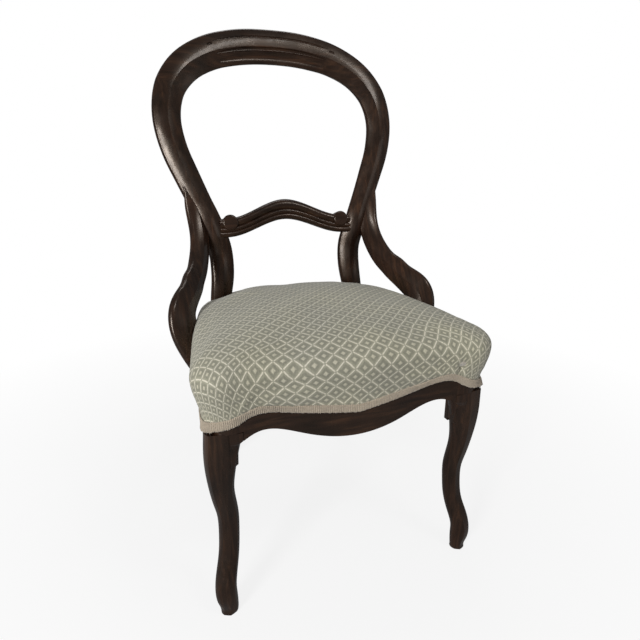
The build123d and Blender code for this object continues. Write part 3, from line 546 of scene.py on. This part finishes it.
def glide(marks, values, t):
    """Value at t on the smooth curve that passes through the values at the marks."""
    k = 0
    while k < len(marks) - 2 and t > marks[k + 1]:
        k += 1
    slopes = []
    for i in (k, k + 1):
        low, high = max(i - 1, 0), min(i + 1, len(marks) - 1)
        slopes.append((values[high] - values[low]) / (marks[high] - marks[low]))
    span = marks[k + 1] - marks[k]
    u = (t - marks[k]) / span
    return (
        values[k] * (2 * u**3 - 3 * u**2 + 1)
        + slopes[0] * span * (u**3 - 2 * u**2 + u)
        + values[k + 1] * (3 * u**2 - 2 * u**3)
        + slopes[1] * span * (u**3 - u**2)
    )


LEVEL_MARKS = [0.0]
for here, there in zip(LEVELS, LEVELS[1:]):
    LEVEL_MARKS.append(LEVEL_MARKS[-1] + math.hypot(there[0] - here[0], there[1] - here[1]))
LEVEL_COLUMNS = list(zip(*LEVELS))


def level_at(t):
    return [glide(LEVEL_MARKS, column, t) for column in LEVEL_COLUMNS]


def place_at_height(height):
    """The distance up the cushion's side at which it has that height."""
    low, high = 0, LEVEL_MARKS[RIM]
    for _ in range(30):
        middle = (low + high) / 2
        if level_at(middle)[0] < height:
            low = middle
        else:
            high = middle
    return low


def hump(x, y, x0, y0, reach):
    return math.exp(-((x - x0) ** 2 + (y - y0) ** 2) / reach**2)


def ease(value):
    value = max(0.0, min(1.0, value))
    return value * value * (3 - 2 * value)


def cushion_point(k, t, skin):
    """Point k of the outline at the distance t up the cushion, for a covering that thick."""
    z, out, up = level_at(t)
    notched = ease((out - NOTCH_LAST_OUT) / NOTCH_FADE)
    x0, y0 = moved_out(notched_outline[k], out, skin * (1 - up))
    x1, y1 = moved_out(full_outline[k], out, skin * (1 - up))
    x, y = x0 * notched + x1 * (1 - notched), y0 * notched + y1 * (1 - notched)
    risen = ease((z - SIDE_FROM) / SIDE_OVER)
    x -= CORNER_PULL * risen * hump(x, y, *CORNER_SPOT, CORNER_REACH)
    z += (skin - COVER_SKIN) * up
    z -= REAR_FALL * risen * hump(abs(x), y, *REAR_FALL_SPOT, REAR_FALL_REACH)
    x, y = clear_of_post(x, y, z)
    return Vector((x, y, z))


def grid_faces(rows, count):
    """Faces between rows of points that each run once round the seat."""
    faces = []
    for r in range(rows - 1):
        for k in range(count):
            j = (k + 1) % count
            faces.append((r * count + k, r * count + j, (r + 1) * count + j, (r + 1) * count + k))
    return faces


PAD_ROWS, PAD_BOTTOM = 22, 0.3575
pad_start = place_at_height(PAD_BOTTOM)
points = []
for r in range(PAD_ROWS):
    t = pad_start + (LEVEL_MARKS[-1] - pad_start) * r / (PAD_ROWS - 1)
    points += [cushion_point(k, t, PAD_SKIN) for k in range(AROUND)]
faces = grid_faces(PAD_ROWS, AROUND)
faces.append(tuple(reversed(range(AROUND))))
faces.append(tuple((PAD_ROWS - 1) * AROUND + k for k in range(AROUND)))
stuffing = new_piece(
    "hair_stuffing",
    points,
    faces,
    cloth_cut("hair and wadding", (0.62, 0.57, 0.48, 1), (0.40, 0.34, 0.26, 1), 300, 0.001, 0.6),
)
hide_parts("stuffing")

# ---------------------------------------------------------------- seat cover
# One square of cloth, woven with a lattice of cream diamonds, is pulled over the stuffing without a seam,
# eased round the corners and tacked to the rails below the rolled edge.

LATTICE = 0.0166  # between two parallel lines of the lattice
GROUND, RING, LINE, HEART = (
    (0.352, 0.343, 0.260, 1),
    (0.264, 0.258, 0.199, 1),
    (0.710, 0.670, 0.545, 1),
    (0.540, 0.512, 0.395, 1),
)
EDGE_MARKS = (0.0, 0.0856, 0.1434, 0.184, 0.2397)
EDGE_HEIGHTS = (0.3095, 0.3219, 0.332, 0.3195, 0.307)
EDGE_TILT, TILT_INSIDE, TILT_FADE = 0.0037, 0.150, 0.045  # the bow hangs lower at its left end
FRONT_FROM, FRONT_FADE = -0.168, 0.035  # the bow belongs to the front alone
SIDE_ROWS, TOP_ROWS, MIDDLE_ROWS = 15, 30, 4
COVER_TOP = 0.4272
CLOTH_TURNS, CLOTH_EASED = -0.028, 0.050  # where the flat cloth turns down, and how evenly it spreads


def edge_height(x, y):
    """Height of the cover's lower edge: a cupid's bow across the front, level elsewhere."""
    front = ease((FRONT_FROM - y) / FRONT_FADE)
    tilt = EDGE_TILT * x / HALF_FRONT * (1 - ease((abs(x) - TILT_INSIDE) / TILT_FADE))
    bow = glide(EDGE_MARKS, EDGE_HEIGHTS, min(abs(x), EDGE_MARKS[-1])) + tilt
    return EDGE_HEIGHTS[-1] + (bow - EDGE_HEIGHTS[-1]) * front


def lattice_cloth():
    """Woven cloth: a square lattice set on its corner, with a light square in a dark ring in each cell."""
    material, tree, shader = new_material("lattice cloth")
    cloth = place_node(tree, "UVMap", uv_map="cloth").outputs[0]
    flat = place_node(tree, "SeparateXYZ", {0: cloth})

    def maths(how, first, second=0.0):
        return place_node(tree, "Math", {0: first, 1: second}, operation=how).outputs[0]

    def step(value, low, high):
        """1 below low, 0 above high."""
        node = place_node(
            tree,
            "MapRange",
            {"Value": value, "From Min": low, "From Max": high, "To Min": 1.0, "To Max": 0.0},
            interpolation_type="SMOOTHSTEP",
        )
        return node.outputs[0]

    wobble = place_node(tree, "TexNoise", {"Vector": cloth, "Scale": 70, "Detail": 2})
    wander = maths("MULTIPLY", maths("SUBTRACT", wobble.outputs["Fac"], 0.5), 0.0016)
    offsets = []
    for how in ("ADD", "SUBTRACT"):
        place = maths("ADD", maths(how, flat.outputs[0], flat.outputs[1]), wander)
        turn = maths("MULTIPLY", place, math.sqrt(0.5) / LATTICE)
        offsets.append(maths("ABSOLUTE", maths("SUBTRACT", maths("FRACT", turn), 0.5)))
    far = [maths("SUBTRACT", 0.5, offset) for offset in offsets]  # from the nearest line, in cells
    on_first, on_second = step(far[0], 0.034, 0.075), step(far[1], 0.034, 0.075)
    crossing = maths("MULTIPLY", step(far[0], 0.06, 0.10), step(far[1], 0.06, 0.10))
    lines = maths("MAXIMUM", on_first, on_second)
    lines = maths("MULTIPLY", lines, maths("SUBTRACT", 1.0, maths("MULTIPLY", crossing, 0.85)))
    from_heart = maths("MAXIMUM", offsets[0], offsets[1])
    heart = step(from_heart, 0.085, 0.175)
    ring = maths("MULTIPLY", step(from_heart, 0.27, 0.40), maths("SUBTRACT", 1.0, heart))

    colour = mixed_colour(tree, ring, GROUND, RING)
    colour = mixed_colour(tree, heart, colour, HEART)
    colour = mixed_colour(tree, lines, colour, LINE)
    threads = place_node(tree, "Mapping", {"Vector": cloth, "Scale": (1, 0.12, 1)})
    warp = place_node(tree, "TexNoise", {"Vector": threads.outputs[0], "Scale": 1500, "Detail": 2})
    weft_at = place_node(tree, "Mapping", {"Vector": cloth, "Scale": (0.12, 1, 1)})
    weft = place_node(tree, "TexNoise", {"Vector": weft_at.outputs[0], "Scale": 1500, "Detail": 2})
    streaks = maths("MULTIPLY", warp.outputs["Fac"], weft.outputs["Fac"])
    uneven = colour_steps(tree, streaks, [(0.10, grey(0.72)), (0.25, grey(1.0)), (0.42, grey(1.2))])
    colour = mixed_colour(tree, 0.8, colour, uneven, "MULTIPLY")
    handled = place_node(tree, "TexNoise", {"Vector": cloth, "Scale": 9, "Detail": 3})
    worn = colour_steps(
        tree, handled.outputs["Fac"], [(0.3, (0.93, 0.93, 0.95, 1)), (0.7, (1.05, 1.04, 1.0, 1))]
    )
    colour = mixed_colour(tree, 1.0, colour, worn, "MULTIPLY")
    tree.links.new(colour, shader.inputs["Base Color"])

    ribs = place_node(tree, "TexWave", {"Vector": cloth, "Scale": 52}, bands_direction="X")
    cords = place_node(tree, "TexWave", {"Vector": cloth, "Scale": 52}, bands_direction="Y")
    weave = maths("MAXIMUM", ribs.outputs["Fac"], cords.outputs["Fac"])
    raised = maths("ADD", lines, maths("MULTIPLY", heart, 0.7))
    height = maths("ADD", raised, maths("MULTIPLY", weave, 0.55))
    bump = place_node(tree, "Bump", {"Height": height, "Strength": 0.75, "Distance": 0.0006})
    tree.links.new(bump.outputs[0], shader.inputs["Normal"])
    sheen = place_node(tree, "MapRange", {"Value": lines, "To Min": 0.82, "To Max": 0.6})
    tree.links.new(sheen.outputs[0], shader.inputs["Roughness"])
    shader.inputs["Sheen Weight"].default_value = 0.25
    shader.inputs["Sheen Roughness"].default_value = 0.5
    shader.inputs["Specular IOR Level"].default_value = 0.3
    return material


columns = []
for k in range(AROUND):
    low = edge_height(*moved_out(notched_outline[k], 0.001))
    start = place_at_height(low)
    spots = [start + (LEVEL_MARKS[RIM] - start) * r / SIDE_ROWS for r in range(SIDE_ROWS)]
    step = (LEVEL_MARKS[-1] - LEVEL_MARKS[RIM]) / (TOP_ROWS - 1)
    spots += [LEVEL_MARKS[RIM] + step * r for r in range(TOP_ROWS)]
    columns.append([cushion_point(k, t, COVER_SKIN) for t in spots])
middle = Vector((0, SEAT_MIDDLE, COVER_TOP))
for column in columns:
    inner = column[-1]
    column += [inner.lerp(middle, r / MIDDLE_ROWS) for r in range(1, MIDDLE_ROWS)]
ROWS = len(columns[0])
grid = [[columns[k][r] for k in range(AROUND)] for r in range(ROWS)]


def eased_directions(outline, reach):
    """Outward directions of an outline, evened out along it over the reach."""
    count = len(outline)
    normals, runs = [], []
    for k in range(count):
        (ax, ay), (bx, by) = outline[k - 1], outline[(k + 1) % count]
        normals.append(Vector((by - ay, ax - bx)).normalized())
        (cx, cy) = outline[k]
        runs.append(math.hypot(cx - ax, cy - ay))
    eased = []
    for k in range(count):
        total = normals[k].copy()
        for way in (1, -1):
            travel = 0.0
            for i in range(1, count // 2):
                j = (k + way * i) % count
                travel += runs[j] if way == 1 else runs[(j + 1) % count]
                if travel > 3 * reach:
                    break
                total += normals[j] * math.exp(-0.5 * (travel / reach) ** 2)
        eased.append(total.normalized())
    return eased


directions = eased_directions(full_outline, CLOTH_EASED)
top_marks = {r: LEVEL_MARKS[RIM] + step * (r - SIDE_ROWS) for r in range(SIDE_ROWS, ROWS)}
fold_row = next(r for r, mark in top_marks.items() if level_at(mark)[1] < CLOTH_TURNS)
cloth_spots = [[(p.x, p.y) for p in row] for row in grid]
for k in range(AROUND):
    base, way = Vector(cloth_spots[fold_row][k]), directions[k]
    travel = 0.0
    for r in range(fold_row - 1, -1, -1):
        travel += (grid[r][k] - grid[r + 1][k]).length
        cloth_spots[r][k] = tuple(base + way * travel)

points = [p for row in grid for p in row] + [middle]
faces = grid_faces(ROWS, AROUND)
last = (ROWS - 1) * AROUND
faces += [(last + k, last + (k + 1) % AROUND, len(points) - 1) for k in range(AROUND)]
cover = new_piece("lattice_seat_cover", points, faces, lattice_cloth())
flat_spots = [spot for row in cloth_spots for spot in row] + [(0, SEAT_MIDDLE)]
cloth_map = cover.data.uv_layers.new(name="cloth")
for loop in cover.data.loops:
    cloth_map.data[loop.index].uv = flat_spots[loop.vertex_index]


def puff_up(piece, tacked, pressure, most):
    """Cloth simulation: the piece swells under pressure; no point moves inwards or further than the most."""
    scene = bpy.context.scene
    start = [v.co.copy() for v in piece.data.vertices]
    outward = [v.normal.copy() for v in piece.data.vertices]
    group = piece.vertex_groups.new(name="tacked")
    group.add(tacked, 1.0, "REPLACE")
    cloth = piece.modifiers.new("puff", "CLOTH")
    cloth.point_cache.frame_start, cloth.point_cache.frame_end = 1, 20
    rules = cloth.settings
    rules.quality = 5
    rules.vertex_group_mass = "tacked"
    rules.tension_stiffness = rules.compression_stiffness = 18
    rules.shear_stiffness = 8
    rules.bending_stiffness = 1.5
    rules.use_pressure = True
    rules.uniform_pressure_force = pressure
    rules.effector_weights.gravity = 0.0
    cloth.collision_settings.use_collision = False
    for k in range(1, 21):
        scene.frame_set(k)
    puffed = piece.evaluated_get(bpy.context.evaluated_depsgraph_get())
    moved = [v.co.copy() for v in puffed.data.vertices]
    scene.frame_set(1)
    piece.modifiers.remove(cloth)
    for vertex, was, now, out in zip(piece.data.vertices, start, moved, outward):
        step = now - was
        step -= out * min(0.0, step.dot(out))
        if step.length > most:
            step = step.normalized() * most
        vertex.co = was + step
    piece.data.update()


AIR_PRESSURE, MOST_SWELL, TACKED_ROWS = 4.0, 0.003, 2
puff_up(cover, list(range(TACKED_ROWS * AROUND)), AIR_PRESSURE, MOST_SWELL)


def kept_clear(points, names, gap):
    """Moves points out of the named nodes, to that gap from their surfaces."""
    for name in names:
        mesh = nodes[name].data
        tree = BVHTree.FromPolygons([v.co for v in mesh.vertices], [p.vertices for p in mesh.polygons])
        for point in points:
            spot, normal, _, far = tree.find_nearest(point, 0.02)
            if spot and ((point - spot).dot(normal) < 0 or far < gap):
                point.xyz = spot + normal * gap


# the height at which a leg's side is felt for, and the flare's top and reach
LEG_SIDE, LEG_FOOT_HIGH, LEG_FLARE = 0.292, 0.330, 0.020


def out_over_legs(points, gap):
    """Moves the cover's foot out over the wider tops of the front legs, and less so further up."""
    for side, way in (("left", -1), ("right", 1)):
        mesh = nodes[f"front_leg_{side}"].data
        tree = BVHTree.FromPolygons([v.co for v in mesh.vertices], [p.vertices for p in mesh.polygons])
        for point in points:
            share = ease((LEG_FOOT_HIGH - point.z) / LEG_FLARE)
            if share > 0 and way * point.x > 0.165 and point.y < -0.190:
                low = Vector((point.x, point.y, LEG_SIDE))
                spot, normal, _, far = tree.find_nearest(low, 0.03)
                outward = Vector((point.x - way * 0.18, point.y + 0.2, 0))
                if spot and (low - spot).dot(normal) < gap and normal.dot(outward) > 0:
                    step = spot + normal * gap - low
                    point.xyz += Vector((step.x, step.y, 0)) * share


SWELL, STILL_ROWS = 0.0007, 6  # slight hand-made unevenness, above the rows near the tacks
OVER_LEG_GAP, WOOD_GAP = 0.0004, 0.0017
WOOD_AROUND = ["back_post_left", "back_post_right", "hip_bracket_left", "hip_bracket_right"]
WOOD_AROUND += ["front_leg_left", "front_leg_right", "front_rail", "side_rail_left", "side_rail_right"]
skin_points = [v.co.copy() for v in cover.data.vertices]
for number, point in enumerate(skin_points):
    wave = math.sin(31 * point.x + 0.6) * math.sin(27 * point.y + 1.1)
    wave += 0.5 * math.sin(71 * point.x - 53 * point.y)
    if number >= STILL_ROWS * AROUND:
        point += cover.data.vertices[number].normal * (SWELL * wave)
out_over_legs(skin_points, OVER_LEG_GAP)
kept_clear(skin_points, WOOD_AROUND, WOOD_GAP)
for vertex, point in zip(cover.data.vertices, skin_points):
    vertex.co = point
cover.data.update()
shell = cover.modifiers.new("thickness", "SOLIDIFY")
shell.thickness, shell.offset = 0.0012, -1
rounder = cover.modifiers.new("smooth cloth", "SUBSURF")
rounder.levels = rounder.render_levels = 1
rounder.use_limit_surface = False
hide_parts("seat_cover")

# ---------------------------------------------------------------- gimp
# A ribbed braid, 12 mm wide, is glued over the tacks along the cover's lower edge, from post to post round
# the front and again across the back.

GIMP_HEIGHT, RIB_PITCH, RIB_STEPS = 0.0115, 0.0027, 6
BRAID_PROFILE = (  # share of the height, and share of the thickness
    (0.0, 0.0),
    (0.02, 0.75),
    (0.12, 1.05),
    (0.3, 0.92),
    (0.5, 1.0),
    (0.7, 0.92),
    (0.88, 1.05),
    (0.98, 0.75),
    (1.0, 0.0),
)
BRAID_THICK, RIB_THICK, BRAID_LIFT, RIB_SPREAD = 0.0007, 0.0010, 0.0004, 0.0005
HANG, HANG_OVER_LEFT_LEG, HANG_OVER_RIGHT_LEG, LEG_GAP = 0.0008, 0.0024, 0.0017, 0.0003
NOTCH_FIRST = len(before_corner)
NOTCH_LAST = NOTCH_FIRST + len(notched_corner)
edge_line = [[skin_points[r * AROUND + k] for r in range(5)] for k in range(AROUND)]


def skin_spot(column, height):
    """Point of the cover so far up from its edge, on a column that may lie between two."""
    k, share = int(math.floor(column)), column - math.floor(column)
    found = []
    for i in (k, k + 1):
        line, left = edge_line[i % AROUND], height
        for low, high in zip(line, line[1:]):
            run = (high - low).length
            if left <= run:
                break
            left -= run
        found.append(low.lerp(high, min(1.0, left / max(run, 1e-6))))
    return found[0].lerp(found[1], share)


def braid_band(first, last):
    """Points and faces of a ribbed band over the columns from first to last."""
    stops, travel = [0.0], 0.0
    for k in range(first, last):
        travel += (edge_line[(k + 1) % AROUND][0] - edge_line[k % AROUND][0]).length
        stops.append(travel)
    ribs = round(travel / RIB_PITCH)
    steps = ribs * RIB_STEPS
    points, k = [], 0
    for i in range(steps + 1):
        place = travel * i / steps
        while k < len(stops) - 2 and stops[k + 1] < place:
            k += 1
        column = first + k + (place - stops[k]) / (stops[k + 1] - stops[k])
        low, high = skin_spot(column, 0.0), skin_spot(column, GIMP_HEIGHT)
        ahead = skin_spot(min(column + 0.5, last), 0.0) - skin_spot(max(column - 0.5, first), 0.0)
        out = ahead.cross(high - low).normalized()
        rib = abs(math.sin(math.pi * ribs * i / steps))
        wobble = 0.00025 * math.sin(0.37 * i) + 0.0002 * math.sin(1.3 * i / RIB_STEPS)
        over_leg = ease((abs(low.x) - 0.160) / 0.012) * ease((-0.188 - low.y) / 0.010)
        hang = HANG + over_leg * (HANG_OVER_LEFT_LEG if low.x < 0 else HANG_OVER_RIGHT_LEG)
        for rise, depth in BRAID_PROFILE:
            height = -hang + (GIMP_HEIGHT + hang) * rise + RIB_SPREAD * (rise - 0.5) * rib + wobble
            spot = low + (high - low) * (height / GIMP_HEIGHT)
            points.append(spot + out * (BRAID_LIFT + depth * (BRAID_THICK + RIB_THICK * rib)))
    count = len(BRAID_PROFILE)
    faces = []
    for i in range(steps):
        for j in range(count - 1):
            a = i * count + j
            faces.append((a, a + count, a + count + 1, a + 1))
        faces.append((i * count + count - 1, (i + 1) * count + count - 1, (i + 1) * count, i * count))
    faces.append(tuple(range(count)))
    faces.append(tuple(steps * count + j for j in reversed(range(count))))
    return points, faces


gimp_material, tree, shader = new_material("gimp braid")
spot = place_node(tree, "TexCoord").outputs["Object"]
fuzz = place_node(tree, "TexNoise", {"Vector": spot, "Scale": 900, "Detail": 3})
dye = place_node(tree, "TexNoise", {"Vector": spot, "Scale": 60, "Detail": 3})
BRAID_SHADE, BRAID_PALE = (0.29, 0.243, 0.185, 1), (0.47, 0.405, 0.315, 1)
colour = colour_steps(tree, fuzz.outputs["Fac"], [(0.35, BRAID_SHADE), (0.65, BRAID_PALE)])
faded = colour_steps(tree, dye.outputs["Fac"], [(0.3, (0.88, 0.87, 0.87, 1)), (0.7, (1.1, 1.08, 1.06, 1))])
tree.links.new(mixed_colour(tree, 1.0, colour, faded, "MULTIPLY"), shader.inputs["Base Color"])
bump = place_node(tree, "Bump", {"Height": fuzz.outputs["Fac"], "Strength": 0.5, "Distance": 0.0004})
tree.links.new(bump.outputs[0], shader.inputs["Normal"])
shader.inputs["Roughness"].default_value = 0.9
shader.inputs["Sheen Weight"].default_value = 0.4

front_points, front_faces = braid_band(1 - NOTCH_FIRST, NOTCH_FIRST - 1)
kept_clear(front_points, ["front_leg_left", "front_leg_right"], LEG_GAP)
rear_points, rear_faces = braid_band(NOTCH_LAST + 1, AROUND - NOTCH_LAST - 1)
count = len(front_points)
gimp = new_piece(
    "gimp_braid",
    front_points + rear_points,
    front_faces + [tuple(i + count for i in face) for face in rear_faces],
    gimp_material,
)
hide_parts("gimp")

# ---------------------------------------------------------------- dust cover
# A thin black cloth is stretched under the rails and hides the webbing from below.

DUST_HEIGHT, DUST_SAG, DUST_RIPPLE, DUST_INSET = 0.2994, 0.0006, 0.0002, 0.005


def dust_height(x, y):
    sag = DUST_SAG * math.cos(5 * x) * math.cos(6 * (y - SEAT_MIDDLE))
    return DUST_HEIGHT - sag + DUST_RIPPLE * math.sin(70 * x + 20 * y)


points, faces = sheet_rings(sheet_outlines(-DUST_INSET, 16), dust_height)
dust = new_piece(
    "dust_cover_cloth",
    points,
    faces,
    cloth_cut("black dust cloth", (0.012, 0.012, 0.013, 1), (0.006, 0.006, 0.007, 1), 1300, 0.0002),
)
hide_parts("dust_cover")

# ---------------------------------------------------------------- floor and backdrop
# The chair stands on a white sweep. The floor keeps the soft shadow under the legs and fades to white with
# distance, and the white beyond is the world as the camera sees it.

FLOOR_LIFT, FLOOR_NEAR, FLOOR_FAR, FLOOR_UNSEEN = 0.84, 0.35, 1.2, 0.42
FLOOR_HALF, FLOOR_DROP, SKY_LIGHT = 9, 0.0004, 0.22

floor_material, tree, shader = new_material("white studio floor")
scuffs = place_node(tree, "TexNoise", {"Scale": 1.5, "Detail": 2})
pale = colour_steps(tree, scuffs.outputs["Fac"], [(0.3, grey(0.80)), (0.7, grey(0.82))])
seen = place_node(tree, "LightPath")
dimmed = mixed_colour(tree, seen.outputs["Is Camera Ray"], grey(FLOOR_UNSEEN), pale)
tree.links.new(dimmed, shader.inputs["Base Color"])
shader.inputs["Roughness"].default_value = 0.9
shader.inputs["Specular IOR Level"].default_value = 0.1
glow = place_node(tree, "Emission", {"Color": grey(1.0), "Strength": 1.0})
spot = place_node(tree, "TexCoord").outputs["Object"]
away = place_node(tree, "VectorMath", {0: spot}, operation="LENGTH")
fading = place_node(
    tree,
    "MapRange",
    {
        "Value": away.outputs["Value"],
        "From Min": FLOOR_NEAR,
        "From Max": FLOOR_FAR,
        "To Min": FLOOR_LIFT,
        "To Max": 1.0,
    },
)
lift = {0: seen.outputs["Is Camera Ray"], 1: fading.outputs[0]}
lifted = place_node(tree, "Math", lift, operation="MULTIPLY")
blend = place_node(tree, "MixShader", {0: lifted.outputs[0], 1: shader.outputs[0], 2: glow.outputs[0]})
tree.links.new(blend.outputs[0], tree.nodes["Material Output"].inputs["Surface"])
floor_mesh = bpy.data.meshes.new("studio_floor")
corners = ((-1, -1), (1, -1), (1, 1), (-1, 1))
floor_points = [(x * FLOOR_HALF, y * FLOOR_HALF, -FLOOR_DROP) for x, y in corners]
floor_mesh.from_pydata(floor_points, [], [(0, 1, 2, 3)])
floor_mesh.materials.append(floor_material)
floor = bpy.data.objects.new("studio_floor", floor_mesh)
bpy.context.scene.collection.objects.link(floor)

world = bpy.data.worlds.new("white studio")
bpy.context.scene.world = world
world.use_nodes = True
tree = world.node_tree
seen = place_node(tree, "LightPath")
looked_at = place_node(
    tree,
    "Math",
    {0: seen.outputs["Is Camera Ray"], 1: seen.outputs["Is Transmission Ray"]},
    operation="MAXIMUM",
)
strength = place_node(tree, "MapRange", {"Value": looked_at.outputs[0], "To Min": SKY_LIGHT, "To Max": 1.0})
background = tree.nodes["Background"]
background.inputs["Color"].default_value = grey(1.0)
tree.links.new(strength.outputs[0], background.inputs["Strength"])

# ---------------------------------------------------------------- lights
# A tall soft window stands to the left and in front. Two small softboxes overhead draw the highlights in
# the polish, and a weak fill lights the right side.


def soft_light(name, spot, aim, width, height, power):
    """An area light of that size in metres, turned to the point that it is aimed at."""
    lamp = bpy.data.lights.new(name, "AREA")
    lamp.shape = "RECTANGLE"
    lamp.size, lamp.size_y = width, height
    lamp.energy = power
    light = bpy.data.objects.new(name, lamp)
    bpy.context.scene.collection.objects.link(light)
    light.location = spot
    light.rotation_euler = (Vector(aim) - Vector(spot)).to_track_quat("-Z", "Y").to_euler()


SEAT_SPOT = (0, -0.05, 0.5)
soft_light("window_left", (-1.85, -1.7, 1.1), SEAT_SPOT, 0.6, 1.1, 49)
soft_light("softbox_above", (0.75, -1.25, 2.1), SEAT_SPOT, 0.5, 0.3, 7)
soft_light("top_rear", (0.2, 0.8, 2.2), SEAT_SPOT, 0.9, 0.4, 5)
soft_light("fill_right", (2.0, -1.6, 1.0), SEAT_SPOT, 0.5, 1.2, 2)

# ---------------------------------------------------------------- camera
# The camera stands to the left of the chair's middle line at about 0.9 m from it, and looks down.

view = bpy.data.cameras.new("front_left_view")
view.lens, view.sensor_width = 27.135, 36
view.clip_start, view.clip_end = 0.01, 60
camera = bpy.data.objects.new("front_left_view", view)
bpy.context.scene.collection.objects.link(camera)
camera.location = (-0.2533, -0.8047, 0.6491)
camera.rotation_euler = (math.radians(90 - 18.2), 0, math.radians(-18.94))
bpy.context.scene.camera = camera
bpy.context.scene.view_settings.view_transform = "Standard"
